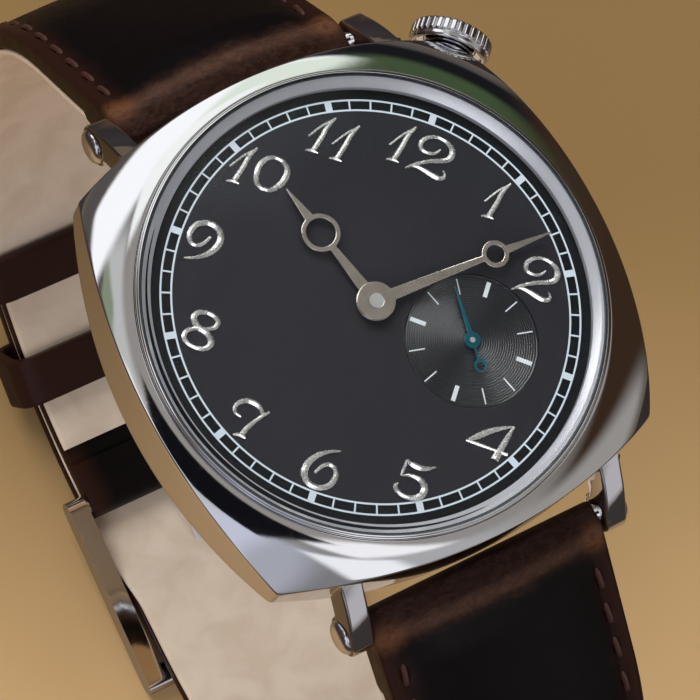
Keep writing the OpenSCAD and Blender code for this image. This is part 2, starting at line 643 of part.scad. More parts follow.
module main_plate() color([0.75, 0.75, 0.78]) {
  difference() {
    union() {
      translate([0, 0, plate_z]) cylinder(r = move_r, h = plate_t, $fn = 96);
      ring(move_r + 0.6, move_r - 1, plate_top - 0.5, plate_top);
      ring(move_r, move_r - 0.7, bridge_top + 0.05, plate_z + 0.01);
      for (p = post_at) translate([p[0], p[1], bridge_top + 0.005]) cylinder(r = 0.75, h = plate_z - bridge_top, $fn = 32);
      // Boss that the battery rests against
      translate([battery_at[0], battery_at[1], battery_z + battery_h + 0.01])
        cylinder(r = 2.4, h = plate_z - battery_z - battery_h, $fn = 32);
      // Post that the minute wheel turns on
      translate([minute_at[0], minute_at[1], plate_top - 0.01])
        cylinder(r = pivot_r + 0.1, h = motion_gap - 0.05, $fn = 24);
    }
    for (p = post_at) translate([p[0], p[1], bridge_top - 1]) cylinder(r = 0.32, h = 2, $fn = 24);
    translate([0, 0, plate_z - 1]) cylinder(r = centre_r + run_gap, h = 4, $fn = 32);
    translate([seconds_at[0], seconds_at[1], plate_z - 1]) cylinder(r = seconds_r + run_gap, h = 4, $fn = 32);
    for (p = [third_at, fifth_at, rotor_at]) translate([p[0], p[1], plate_z - 1])
      cylinder(r = pivot_r + run_gap, h = 1.5, $fn = 24);
    for (a = [60, 240]) translate([11 * cos(a), 11 * sin(a), plate_top - 0.52]) cylinder(r = 0.37, h = 2, $fn = 32);
    on_stem() rod_x(stem_r + 0.25, stem_end, move_r + 1);
  }
}

module bridge_plan() {
  polygon([[-3.6, -5.6], [-3.6, 1.4], [0, 3.2], [10.6, 3.4], [12.1, 1], [11.6, -4], [9.6, -8.2], [7.4, -9.4],
    [2.2, -9.2]] * move_share);
}

module train_bridge() color(steel) {
  difference() {
    union() {
      intersection() {
        translate([0, 0, bridge_z]) linear_extrude(height = bridge_t) bridge_plan();
        translate([0, 0, bridge_z]) cylinder(r = move_r - 0.9, h = bridge_t, $fn = 96);
      }
      // Boss under the battery clamp
      translate([clamp_at[0], clamp_at[1], battery_z + 0.01]) cylinder(r = 0.8, h = bridge_z - battery_z + 0.1, $fn = 32);
    }
    translate([battery_at[0], battery_at[1], 0]) cylinder(r = battery_r + 0.15, h = dial_z, $fn = 64);
    for (p = post_at) translate([p[0], p[1], 0]) cylinder(r = 0.32, h = dial_z, $fn = 24);
    translate([clamp_at[0], clamp_at[1], 0]) cylinder(r = 0.32, h = dial_z, $fn = 24);
    translate([0, 0, 0]) cylinder(r = pivot_r + run_gap, h = dial_z, $fn = 24);
    for (p = [third_at, seconds_at, fifth_at, rotor_at]) translate([p[0], p[1], 0])
      cylinder(r = pivot_r + run_gap, h = dial_z, $fn = 24);
  }
}

module screw(z_head, length) {
  translate([0, 0, z_head]) cylinder(r = 0.3, h = length, $fn = 24);
  difference() {
    translate([0, 0, z_head - 0.28]) cylinder(r = 0.6, h = 0.28, $fn = 32);
    translate([-1, -0.08, z_head - 0.4]) cube([2, 0.16, 0.24]);
  }
}

module movement_screws() color(steel) {
  for (p = post_at) translate([p[0], p[1], 0]) screw(bridge_z - 0.005, bridge_t + 0.6);
  translate([clamp_at[0], clamp_at[1], 0]) screw(battery_z - 0.22, bridge_top - battery_z + 0.1);
}

module battery() color([0.86, 0.86, 0.86]) {
  translate([battery_at[0], battery_at[1], battery_z]) {
    cylinder(r = battery_r - 0.4, h = battery_h, $fn = 64);
    translate([0, 0, 0.25]) cylinder(r = battery_r, h = battery_h - 0.25, $fn = 64);
  }
}

module battery_clamp() color(steel) {
  span = norm(battery_at - clamp_at);
  turn = atan2(battery_at[1] - clamp_at[1], battery_at[0] - clamp_at[0]);
  translate([clamp_at[0], clamp_at[1], battery_z - 0.21]) difference() {
    union() {
      cylinder(r = 0.95, h = 0.2, $fn = 32);
      rotate([0, 0, turn]) translate([0, -0.95, 0]) cube([span + 1.5, 1.9, 0.2]);
    }
    translate([0, 0, -1]) cylinder(r = 0.32, h = 3, $fn = 24);
  }
}

module circuit_board() color([0.05, 0.3, 0.15]) {
  translate([0, 0, bridge_z - board_t - 0.01]) linear_extrude(height = board_t)
    polygon([[2.4, 3], [9.4, 3.1], [9.4, -5.6], [3.4, -5.6], [3.4, -1], [2.4, -1]] * move_share);
}

module chip() color([0.08, 0.08, 0.08]) {
  translate([3.8, 0.2, bridge_z - board_t - 0.52]) cube([2.2, 2.2, 0.5]);
}

module quartz_can() color([0.8, 0.8, 0.75]) {
  translate([8, 2, bridge_z - board_t - 0.02 - 0.62]) rotate([90, 0, 0]) cylinder(r = 0.6, h = 5.4, $fn = 32);
}

module coil_core() color([0.5, 0.5, 0.52]) {
  translate([coil_x0 - 0.8, coil_y - 0.7, stator_z + stator_t + 0.01]) cube([coil_x1 - coil_x0 + 1.6, 1.4, 0.35]);
}

module coil_winding() color([0.72, 0.36, 0.12]) {
  difference() {
    translate([0, coil_y, coil_z]) rod_x(0.95, coil_x0 + 1.1, coil_x1 - 1.1);
    translate([coil_x0 - 2, coil_y - 0.72, stator_z + stator_t - 0.01]) cube([coil_x1 - coil_x0 + 4, 1.44, 0.39]);
  }
}

// Flat iron loop that carries the coil's field round the rotor
module stator() color([0.55, 0.55, 0.57]) {
  w = 1.2;
  turn_bar = atan2(bar_of_stator_y - rotor_at[1], coil_x0 - rotor_at[0]);
  turn_arm = atan2(coil_y - rotor_at[1], coil_x1 - rotor_at[0]);
  difference() {
    translate([0, 0, stator_z]) union() {
      translate([rotor_at[0], rotor_at[1], 0]) cylinder(r = 1.3, h = stator_t, $fn = 48);
      translate([rotor_at[0], rotor_at[1], 0]) rotate([0, 0, turn_bar]) translate([0, -w / 2, 0])
        cube([norm([bar_of_stator_y - rotor_at[1], coil_x0 - rotor_at[0]]) + w / 2, w, stator_t]);
      translate([rotor_at[0], rotor_at[1], 0]) rotate([0, 0, turn_arm]) translate([0, -w / 2, 0])
        cube([norm([coil_y - rotor_at[1], coil_x1 - rotor_at[0]]) + w / 2, w, stator_t]);
      translate([coil_x0 - w / 2, coil_y - w / 2, 0]) cube([w, bar_of_stator_y - coil_y + w, stator_t]);
    }
    translate([rotor_at[0], rotor_at[1], 0]) cylinder(r = 0.7, h = dial_z, $fn = 48);
  }
}

// An arbor with a pivot in the bridge and one in the main plate
module arbor(at, r) {
  translate([at[0], at[1], bridge_z + 0.02]) cylinder(r = pivot_r, h = plate_z - bridge_z + 0.45, $fn = 24);
  translate([at[0], at[1], bridge_top + 0.05]) cylinder(r = r, h = train_gap - 0.1, $fn = 24);
}

module rotor() color([0.35, 0.35, 0.38]) {
  arbor(rotor_at, pivot_r + 0.03);
  translate([rotor_at[0], rotor_at[1], stator_z - 0.1]) cylinder(r = 0.6, h = 0.5, $fn = 48);
  translate([rotor_at[0], rotor_at[1], 0])
    gear(rotor_teeth, fifth_m, fifth_wheel_z - pinion_over, wheel_t + 2 * pinion_over, rotor_turn - 180);
}

module fifth_wheel() color(brass) {
  arbor(fifth_at, pivot_r + 0.03);
  translate([fifth_at[0], fifth_at[1], 0]) {
    gear(fifth_teeth, fifth_m, fifth_wheel_z, wheel_t, rotor_turn + 180 / fifth_teeth);
    gear(fifth_pinion_teeth, train_m, seconds_wheel_z - pinion_over, wheel_t + 2 * pinion_over, fifth_turn - 180);
  }
}

module seconds_wheel() color(brass) {
  arbor(seconds_at, seconds_r);
  translate([seconds_at[0], seconds_at[1], plate_z - 0.06])
    cylinder(r = seconds_r, h = seconds_hand_z + 0.2 - plate_z, $fn = 24);
  translate([seconds_at[0], seconds_at[1], 0]) {
    gear(seconds_teeth, train_m, seconds_wheel_z, wheel_t, fifth_turn + 180 / seconds_teeth);
    gear(seconds_pinion_teeth, train_m, third_wheel_z - 0.05, wheel_t + pinion_over, third_to_seconds - 180);
  }
}

module third_wheel() color(brass) {
  arbor(third_at, pivot_r + 0.03);
  translate([third_at[0], third_at[1], 0]) {
    gear(third_teeth, train_m, third_wheel_z, wheel_t, third_to_seconds + 180 / third_teeth);
    gear(third_pinion_teeth, train_m, centre_wheel_z - 0.05, wheel_t + pinion_over, dial_turn + third_turn - 180);
  }
}

module centre_wheel() color(brass) {
  arbor([0, 0], centre_r);
  translate([0, 0, plate_z - 0.06]) cylinder(r = centre_r, h = arbor_top - plate_z, $fn = 32);
  gear(centre_teeth, train_m, centre_wheel_z, wheel_t, dial_turn + third_turn + 180 / centre_teeth);
}

module cannon_pinion() color(steel) {
  difference() {
    union() {
      translate([0, 0, plate_top + 0.05]) cylinder(r = cannon_r, h = minute_hand_z + hand_t - plate_top - 0.05, $fn = 32);
      gear(cannon_teeth, motion_m, plate_top + 0.05, 0.25, minute_turn);
    }
    translate([0, 0, plate_top - 1]) cylinder(r = centre_r + 0.005, h = 5, $fn = 32);
  }
}

module minute_wheel() color(brass) {
  translate([minute_at[0], minute_at[1], 0]) difference() {
    union() {
      gear(minute_teeth, motion_m, plate_top + 0.08, wheel_t, minute_turn - 180 + 180 / minute_teeth);
      gear(minute_pinion_teeth, hour_m, plate_top + 0.08, 0.54, minute_turn - 180);
    }
    translate([0, 0, plate_top - 1]) cylinder(r = pivot_r + 0.1 + run_gap, h = 3, $fn = 24);
  }
}

module hour_wheel() color(brass) {
  difference() {
    union() {
      gear(hour_teeth, hour_m, plate_top + 0.38, wheel_t, minute_turn + 180 / hour_teeth);
      translate([0, 0, plate_top + 0.38]) cylinder(r = hour_pipe_r, h = hour_hand_z + hand_t - plate_top - 0.38, $fn = 32);
    }
    translate([0, 0, plate_top - 1]) cylinder(r = cannon_r + run_gap * 3, h = 5, $fn = 32);
  }
}

// Crown: hollow skirt, fluted band and domed cap, with a pocket for its gasket
module crown() color(steel) {
  flute_r = PI * crown_r / flutes * 0.55;
  difference() {
    on_stem() translate([crown_at, 0, 0]) rotate([0, 90, 0]) rotate_extrude($fn = 96) polygon([
      [0, -crown_skirt], [crown_r - 0.25, -crown_skirt], [crown_r - 0.15, 0.1 - crown_skirt],
      [crown_r - 0.15, 0], [crown_r, 0.1], [crown_r, crown_band - 0.1],
      [crown_r - 0.15, crown_band], [1.75, crown_band + 0.05], [1.5, crown_band + 0.4], [0.8, crown_band + 0.62],
      [0, crown_band + 0.7]]);
    on_stem() for (i = [0 : flutes - 1]) rotate([360 / flutes * i, 0, 0])
      translate([crown_at - 0.2, 0, crown_r + flute_r * 0.35]) rotate([0, 90, 0])
        cylinder(r = flute_r, h = crown_band + 0.4, $fn = 16);
    // The skirt's hollow, the pocket that swallows the tube's end, and the stem's hole
    on_stem() rod_x(crown_r - 0.55, crown_at - 2, crown_at);
    on_stem() rod_x(1.35, crown_at - 2, crown_at + crown_band - 0.05);
    on_stem() rod_x(stem_r + 0.005, crown_at - 2, crown_at + crown_band + 0.35);
  }
}

module crown_tube() color(steel) {
  difference() {
    union() {
      on_stem() rod_x(tube_r, bore_r - 0.05, crown_at + crown_band - 0.12);
      on_stem() rod_x(collar_r, collar_in + seat_gap, collar_at);
    }
    on_stem() rod_x(stem_r + run_gap * 3, bore_r - 3, cut);
  }
}

module crown_gasket() color([0.05, 0.05, 0.05]) {
  difference() {
    on_stem() rod_x(1.34, crown_at + 0.02, crown_at + 0.42);
    on_stem() rod_x(tube_r + run_gap, crown_at - 3, cut);
  }
}

module winding_stem() color(steel) {
  difference() {
    on_stem() rod_x(stem_r, stem_end, crown_at + crown_band + 0.35);
    // Groove that the setting lever's pin sits in
    difference() {
      on_stem() rod_x(stem_r + 1, groove_at - groove_w / 2, groove_at + groove_w / 2);
      on_stem() rod_x(stem_r - 0.2, groove_at - groove_w, groove_at + groove_w);
    }
  }
}

module clutch_wheel() color(steel) {
  difference() {
    on_stem() rotate([0, 90, 0]) gear(14, 0.12, clutch_at, clutch_len, 0);
    on_stem() rod_x(stem_r + 0.01, 0, clutch_at + 4);
  }
}

// Plate between stem and main plate, with a pin down into the stem's groove
module setting_lever() color(steel) {
  lever_z = stem_r + 0.12;
  on_stem() {
    translate([groove_at, 0, stem_r - 0.13]) cylinder(r = 0.16, h = 0.4, $fn = 24);
    translate([groove_at - 0.4, -lever_arm, lever_z]) cube([0.8, lever_arm + 0.4, 0.16]);
    translate([groove_at, -lever_arm, lever_z]) cylinder(r = 0.6, h = 0.16, $fn = 32);
    translate([groove_at, -lever_arm, lever_z]) cylinder(r = 0.2, h = plate_z - stem_z - lever_z - 0.01, $fn = 24);
  }
}

// Lug bars, each with a domed head outside either lug
module lug_bars() color(steel) {
  half = lug_gap / 2 + lug_w + seat_gap;
  ball = (bar_head_r * bar_head_r + bar_head_h * bar_head_h) / (2 * bar_head_h);
  for (y = [-bar_y, bar_y]) translate([0, y, bar_z]) rotate([0, 90, 0]) rotate_extrude($fn = 64) {
    translate([0, -half]) square([bar_r, 2 * half]);
    for (flip = [0, 1]) mirror([0, flip]) intersection() {
      translate([0, half + bar_head_h - ball]) circle(r = ball);
      translate([0, half]) square([bar_head_r, 2 * bar_head_h]);
    }
  }
}

// The strap's route, as a flat curve: a small bend over the bar, a slope, the bend next to the
// case, a line down and the lower bend. Half 0 has the buckle and half 1 has the holes.
// Each station gives [out, height, angle of the outward normal].
reaches = [reach_upper, reach_lower];
slopes = [upper_slope, lower_slope];
function arc_len(r, angle) = r * angle * PI / 180;
function slope_y(half) = bar_y + entry_bend * (sin(slopes[half]) - sin(entry_slope));
function slope_z(half) = bar_z - entry_bend * (cos(entry_slope) - cos(slopes[half]));
function slope_len(half) = (reaches[half] - slope_y(half) - top_bend * (1 - sin(slopes[half]))) / cos(slopes[half]);
function bend_y(half) = reaches[half] - top_bend;
function bend_z(half) = slope_z(half) - slope_len(half) * sin(slopes[half]) - top_bend * cos(slopes[half]);
function line_len(half) = bend_z(half) + loop_z - low_bend;
function low_y(half) = reaches[half] - low_bend;
low_z = low_bend - loop_z;
function entry_len(half) = arc_len(entry_bend, slopes[half] - entry_slope);
function line_at(half) = entry_len(half) + slope_len(half) + arc_len(top_bend, 90 - slopes[half]);
function half_len(half) = line_at(half) + line_len(half) + arc_len(low_bend, 90);
function station(half, s) = let (
    s0 = entry_len(half), s1 = s0 + slope_len(half), s2 = line_at(half),
    s3 = s2 + line_len(half), s4 = half_len(half),
    a = s < 0 ? 90 - entry_slope : s < s0 ? 90 - entry_slope - s / entry_bend * 180 / PI :
      s < s1 ? 90 - slopes[half] : s < s2 ? 90 - slopes[half] - (s - s1) / top_bend * 180 / PI :
      s < s3 ? 0 : s < s4 ? -(s - s3) / low_bend * 180 / PI : -90)
  s < 0 ? [bar_y + s * sin(a), bar_z - s * cos(a), a] :
  s < s0 ? [bar_y + entry_bend * (cos(a) - sin(entry_slope)), bar_z - entry_bend * (cos(entry_slope) - sin(a)), a] :
  s < s1 ? [slope_y(half) + (s - s0) * sin(a), slope_z(half) - (s - s0) * cos(a), a] :
  s < s2 ? [bend_y(half) + top_bend * cos(a), bend_z(half) + top_bend * sin(a), a] :
  s < s3 ? [reaches[half], bend_z(half) - (s - s2), a] :
  s < s4 ? [low_y(half) + low_bend * cos(a), low_z + low_bend * sin(a), a] :
  [low_y(half) - (s - s4), -loop_z, a];

// The half without the buckle runs on round the other half, one layer further out
layer = strap_t + soft_gap;
flat_len = low_y(0) + low_y(1);
buckle_y = low_y(0) - 0.5;
swap_y0 = buckle_y - 11.2;
swap_y1 = buckle_y - 5.2;
lower_half = half_len(1);
tail_len = flat_len + low_bend * tail_angle * PI / 180;
function lower_station(s) = let (over = s - lower_half - flat_len)
  s < lower_half + flat_len ?
    let (p = station(1, s),
         up = layer * smooth((-p[0] - swap_y0) / (swap_y1 - swap_y0)) * (s > lower_half - 8 ? 1 : 0))
    [-(p[0] + up * cos(p[2])), p[1] + up * sin(p[2]), 180 - p[2]] :
    let (a = -90 + over / low_bend * 180 / PI)
    [low_y(0) + (low_bend + layer) * cos(a), low_z + (low_bend + layer) * sin(a), a];
function upper_station(s) = station(0, s);

function pad(s) = pad_h * (1 - smooth(s / pad_len));
// How far the underside lies from the route
function under(s) = -strap_t / 2 - pad_under * (1 - smooth(s / pad_len));
function width_at(s, full) = strap_w - (strap_w - strap_end_w) * min(max(s / full, 0), 1);

// Puts points [share of the width, height] into the plane across the route at one station
function on_station(p, w, list) = [for (q = list) [q[0] * w, p[0] + cos(p[2]) * q[1], p[1] + sin(p[2]) * q[1]]];
// Seven points round the strap's leather: two inside, five over its domed outside
function strap_ring(p, w, low, high, crown) = let (dome = crown + 0.15) on_station(p, w,
  [[-0.5, low], [0.5, low], [0.5, high - 0.15], [0.3, high - 0.15 + dome * 0.8], [0, high - 0.15 + dome],
   [-0.3, high - 0.15 + dome * 0.8], [-0.5, high - 0.15]]);
function lining_ring(p, w, low) = let (high = low + lining_t - 0.01)
  on_station(p, w, [[-0.5, low], [0.5, low], [0.5, high], [-0.5, high]]);

// Closed skin over a list of rings with the same number of points
module skin(rings) {
  n = len(rings[0]);
  k = len(rings);
  polyhedron(
    points = [for (r = rings) each r],
    faces = concat(
      [[for (i = [0 : n - 1]) i]],
      [for (j = [0 : k - 2], i = [0 : n - 1]) [j * n + i, (j + 1) * n + i, (j + 1) * n + (i + 1) % n]],
      [for (j = [0 : k - 2], i = [0 : n - 1]) [j * n + i, (j + 1) * n + (i + 1) % n, j * n + (i + 1) % n]],
      [[for (i = [0 : n - 1]) k * n - 1 - i]]));
}

start_s = -1.05;
lining_s = 6;
upper_end = half_len(0) + 0.5;
upper_stop = upper_end + 1.25;
function upper_list() = [start_s, 0, 1.2, 2.4, lining_s - 0.02, lining_s,
  for (s = [9 : 3.2 : upper_end - 5]) s, upper_end - 3, upper_end, upper_stop];

module strap_upper() color(leather) {
  difference() {
    skin([for (s = upper_list()) strap_ring(upper_station(s), width_at(s, upper_end),
      s < 0 ? -strap_t / 2 : s < lining_s || s > upper_end - 4 ? under(s) : lining_t + under(s),
      strap_t / 2, pad(s) * (s < 0 ? 0.8 : 1))]);
    translate([0, bar_y, bar_z]) rod_x(bar_r + soft_gap / 3, -cut, cut);
    translate([0, buckle_y, -loop_z]) rod_x(buckle_bar_r + soft_gap / 3, -cut, cut);
    // Slot that the tongue comes out of
    translate([-tongue_w / 2 - soft_gap, buckle_y - 6, -loop_z - 3]) cube([tongue_w + 2 * soft_gap, 8, 6]);
  }
}

module strap_upper_lining() color(tan_leather) {
  list = [for (s = upper_list()) if (s >= lining_s && s <= upper_end - 5) s];
  skin([for (s = list) lining_ring(upper_station(s), width_at(s, upper_end), under(s))]);
}

lower_full = lower_half + tail_len;
function lower_list() = [start_s, 0, 1.2, 2.4, lining_s - 0.02, lining_s,
  for (s = [9 : 3.3 : lower_half - 6]) s,
  for (s = [lower_half - 4 : 1.4 : lower_half + flat_len + 1]) s,
  for (s = [lower_half + flat_len + 3 : 3 : lower_full - 6]) s,
  for (k = [0, 1.8, 3.4, 4.6, 5.3, 5.8]) lower_full - 5.8 + k];
function tip_w(s) = let (u = max(0, (s - lower_full + 5.8) / 6.4)) sqrt(1 - u * u);

hole_half = 3.4;
hole_w = tongue_w + 0.3;
module strap_holes() {
  // The hole in use, long enough for the tongue as it swings
  translate([-hole_w / 2, swap_y0 + 4.05 - hole_half, -loop_z - 8]) cube([hole_w, 2 * hole_half, 12]);
  // Spare holes between here and the case, and on round the tail
  for (i = [1 : spare_holes]) let (p = station(1, lower_half - hole_pitch * i - 2))
    translate([0, -p[0], p[1]]) rotate([-p[2] - 90, 0, 0]) cylinder(r = hole_w / 2, h = 12, center = true, $fn = 24);
}

module strap_lower() color(leather) {
  difference() {
    skin([for (s = lower_list()) strap_ring(lower_station(s), width_at(s, lower_half) * tip_w(s),
      s < 0 ? -strap_t / 2 : s < lining_s ? under(s) : lining_t + under(s),
      strap_t / 2, pad(s) * (s < 0 ? 0.8 : 1))]);
    translate([0, -bar_y, bar_z]) rod_x(bar_r + soft_gap / 3, -cut, cut);
    strap_holes();
  }
}

module strap_lower_lining() color(tan_leather) {
  difference() {
    skin([for (s = lower_list()) if (s >= lining_s)
      lining_ring(lower_station(s), width_at(s, lower_half) * tip_w(s), under(s))]);
    strap_holes();
  }
}

// A keeper: a box-shaped loop round both layers, swept about the lower bend's own centre
module keeper(angle) {
  sweep = keeper_w / low_bend * 180 / PI;
  r_in = low_bend - strap_t / 2 - soft_gap;
  r_out = low_bend + layer + strap_t / 2 + soft_gap;
  half_w = strap_end_w / 2 + 0.55 + soft_gap;
  translate([0, low_y(0), low_z]) rotate([0, 90, 0]) rotate([0, 0, angle - sweep / 2])
      difference() {
        rotate_extrude(angle = sweep, $fn = 180) translate([r_in - keeper_t, -half_w - keeper_t])
          square([r_out - r_in + 2 * keeper_t, 2 * (half_w + keeper_t)]);
        translate([0, 0, -half_w]) difference() {
          cylinder(r = r_out, h = 2 * half_w, $fn = 180);
          translate([0, 0, -1]) cylinder(r = r_in, h = 2 * half_w + 2, $fn = 180);
        }
      }
}

module fixed_keeper() color(leather) keeper(fixed_keeper_at);
module floating_keeper() color(leather) keeper(float_keeper_at);

foot_z = -loop_z - layer - strap_t / 2;
rim_y = buckle_y - buckle_len;
rim_z = foot_z + rim_r;
rail_x = strap_end_w / 2 + soft_gap;
frame_turn = atan2(rim_z + loop_z, rim_y - buckle_y);

module buckle_frame() color(steel) {
  reach = norm([rim_y - buckle_y, rim_z + loop_z]);
  difference() {
    union() {
      for (side = [0, 1]) mirror([side, 0, 0]) slab_x(rail_x, rail_x + rail_w) {
        translate([buckle_y, -loop_z]) circle(r = rim_r);
        translate([rim_y, rim_z]) circle(r = rim_r);
        translate([buckle_y, -loop_z]) rotate(frame_turn) translate([0, -rim_r]) square([reach, 2 * rim_r]);
      }
      translate([0, rim_y, rim_z]) rod_x(rim_r, -rail_x - 0.5, rail_x + 0.5);
    }
    translate([0, buckle_y, -loop_z]) rod_x(buckle_bar_r + run_gap, -cut, cut);
    // Notch for the tongue's end
    translate([-tongue_w / 2 - 0.12, rim_y - 3, foot_z - 1]) cube([tongue_w + 0.24, 6, tongue_t + 1.5]);
  }
}

module buckle_bar() color(steel) {
  translate([0, buckle_y, -loop_z]) rod_x(buckle_bar_r, -rail_x - rail_w, rail_x + rail_w);
}

module buckle_tongue() color(steel) {
  drop = foot_z + 0.1 + tongue_t / 2 + loop_z;
  turn = atan2(drop, -buckle_len);
  difference() {
    union() {
      translate([0, buckle_y, -loop_z]) rod_x(buckle_bar_r + 0.4, -tongue_w / 2, tongue_w / 2);
      translate([0, buckle_y, -loop_z]) slab_x(-tongue_w / 2, tongue_w / 2) rotate(turn)
        polygon([[0.2, -tongue_t / 2], [buckle_len + 1, -tongue_t / 2], [buckle_len + 1.5, -tongue_t / 4],
                 [buckle_len + 1.5, tongue_t / 4], [buckle_len + 1, tongue_t / 2], [0.2, tongue_t / 2]]);
    }
    translate([0, buckle_y, -loop_z]) rod_x(buckle_bar_r + run_gap, -cut, cut);
  }
}

case_middle();
lugs();
bezel_ring();
crystal();
crystal_gasket();
rehaut_ring();
case_back();
case_back_gasket();
dial_plate();
seconds_dial();
numerals();
hour_hand();
minute_hand();
seconds_hand();
movement_holder();
main_plate();
train_bridge();
movement_screws();
battery();
battery_clamp();
circuit_board();
chip();
quartz_can();
coil_core();
coil_winding();
stator();
rotor();
fifth_wheel();
seconds_wheel();
third_wheel();
centre_wheel();
cannon_pinion();
minute_wheel();
hour_wheel();
crown();
crown_tube();
crown_gasket();
winding_stem();
clutch_wheel();
setting_lever();
lug_bars();
strap_upper();
strap_upper_lining();
strap_lower();
strap_lower_lining();
fixed_keeper();
floating_keeper();
buckle_frame();
buckle_bar();
buckle_tongue();
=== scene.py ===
# %% [markdown]
# A wristwatch with a cushion-shaped steel case, a small seconds dial and a buckled leather strap.
# The CAD model gives every piece its place and size. Here each visible piece gets the surface
# that the real one has: softened edges, facets, flutes, grooves, padding, stitches and grain.
# The CAD model is loaded first, because its box is the size that the dressed watch has to keep.

# %% Load the CAD model
import json
import bmesh
import bpy
import numpy as np
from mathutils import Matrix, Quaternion, Vector


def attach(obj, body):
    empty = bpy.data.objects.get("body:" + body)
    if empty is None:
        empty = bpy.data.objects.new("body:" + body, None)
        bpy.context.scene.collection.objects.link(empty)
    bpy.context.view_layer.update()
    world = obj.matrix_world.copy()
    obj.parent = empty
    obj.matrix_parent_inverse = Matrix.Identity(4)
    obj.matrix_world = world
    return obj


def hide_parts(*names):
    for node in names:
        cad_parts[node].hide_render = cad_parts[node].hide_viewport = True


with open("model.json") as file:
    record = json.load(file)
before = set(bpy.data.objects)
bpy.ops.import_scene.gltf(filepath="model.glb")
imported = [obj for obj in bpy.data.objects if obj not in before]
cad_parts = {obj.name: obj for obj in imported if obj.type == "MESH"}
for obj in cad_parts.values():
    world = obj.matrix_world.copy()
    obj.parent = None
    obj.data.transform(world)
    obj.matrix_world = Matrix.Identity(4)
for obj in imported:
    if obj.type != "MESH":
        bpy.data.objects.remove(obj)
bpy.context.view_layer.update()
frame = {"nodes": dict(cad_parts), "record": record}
MM = 0.001

# %% [markdown]
# The camera stands where the photographer's did: above the dial, towards the side of the nine and
# the six. Its place was fitted to the minute track, the hands' hub and the heads of the lug bars.
# A long lens keeps the perspective as flat as a close-up of a watch has it.

# %% Camera
camera_at = np.array([-76.354, -34.250, 217.906])
camera_data = bpy.data.cameras.new("camera")
camera_data.sensor_width = 36
camera_data.lens = 159.007
camera_data.clip_start = 0.01
camera = bpy.data.objects.new("camera", camera_data)
bpy.context.scene.collection.objects.link(camera)
camera.rotation_mode = "QUATERNION"
camera.rotation_quaternion = Quaternion((0.95857, 0.10729, -0.14492, -0.22052)).normalized()
camera.location = camera_at * MM
bpy.context.scene.camera = camera
print("camera is", round(float(np.linalg.norm(camera_at))), "mm from the case back")

# %% [markdown]
# Shaders are sums of simple functions of place, such as stripes, rings and noise. Written as nodes
# they get long, so a small class wraps a socket: an expression on it adds the Math nodes. A board
# is one node tree. Its other methods add any node, noise, soft steps, colour mixes and bumps.


# %% Shader maths
class Value:
    """A number, colour or vector inside a shader. Maths on it adds Math nodes."""

    def __init__(self, board, socket):
        self.board = board
        self.socket = socket

    def __abs__(self):
        return self.board.maths("ABSOLUTE", self)

    def __neg__(self):
        return self.board.maths("MULTIPLY", self, -1)


def add_operator(name, operation):
    """Lets Value understand one operator, also with a plain number on its left."""
    setattr(Value, f"__{name}__", lambda self, other: self.board.maths(operation, self, other))
    setattr(Value, f"__r{name}__", lambda self, other: self.board.maths(operation, other, self))


for name, operation in (("add", "ADD"), ("sub", "SUBTRACT"), ("mul", "MULTIPLY"), ("truediv", "DIVIDE"),
                        ("pow", "POWER"), ("mod", "FLOORED_MODULO"), ("lt", "LESS_THAN"),
                        ("gt", "GREATER_THAN")):
    add_operator(name, operation)


class Board:
    """One node tree. "node" adds any node: its type, its settings, then its sockets' values or links."""

    def __init__(self, tree):
        self.tree = tree
        tree.nodes.clear()

    def node(self, kind, settings=None, sockets=None, out=0):
        made = self.tree.nodes.new(kind)
        for name, setting in (settings or {}).items():
            setattr(made, name, setting)
        for name, given in (sockets or {}).items():
            self.feed(made.inputs[name], given)
        return Value(self, made.outputs[out] if len(made.outputs) else None)

    def feed(self, socket, given):
        if isinstance(given, Value):
            self.tree.links.new(given.socket, socket)
        else:
            socket.default_value = given

    def maths(self, operation, *given):
        return self.node("ShaderNodeMath", {"operation": operation}, dict(enumerate(given)))

    def vector_maths(self, operation, *given, out=0):
        return self.node("ShaderNodeVectorMath", {"operation": operation}, dict(enumerate(given)), out)

    def scaled(self, vector, share):
        return self.node("ShaderNodeVectorMath", {"operation": "SCALE"}, {0: vector, "Scale": share})

    def parts(self, vector):
        split = self.node("ShaderNodeSeparateXYZ", None, {0: vector})
        return [Value(self, out) for out in split.socket.node.outputs]

    def joined(self, x, y, z):
        return self.node("ShaderNodeCombineXYZ", None, {0: x, 1: y, 2: z})

    def noise(self, at, scale, detail=2.0, distortion=0.0):
        sockets = {"Vector": at, "Scale": scale, "Detail": detail, "Distortion": distortion}
        return self.node("ShaderNodeTexNoise", None, sockets)

    def cells(self, at, scale):
        return self.node("ShaderNodeTexVoronoi", {"feature": "F1"}, {"Vector": at, "Scale": scale})

    def step(self, value, low, high):
        """0 below low, 1 above high, and smooth between them."""
        sockets = {"Value": value, "From Min": low, "From Max": high}
        return self.node("ShaderNodeMapRange", {"interpolation_type": "SMOOTHSTEP"}, sockets)

    def mix(self, share, a, b):
        """Colour a where share is 0 and colour b where it is 1."""
        return self.node("ShaderNodeMix", {"data_type": "RGBA"}, {0: share, 6: colour(a), 7: colour(b)}, 2)

    def bump(self, height, strength, distance=0.1):
        sockets = {"Strength": strength, "Distance": distance * MM, "Height": height}
        return self.node("ShaderNodeBump", None, sockets)


def colour(given):
    return given if isinstance(given, Value) else (*given[:3], 1)


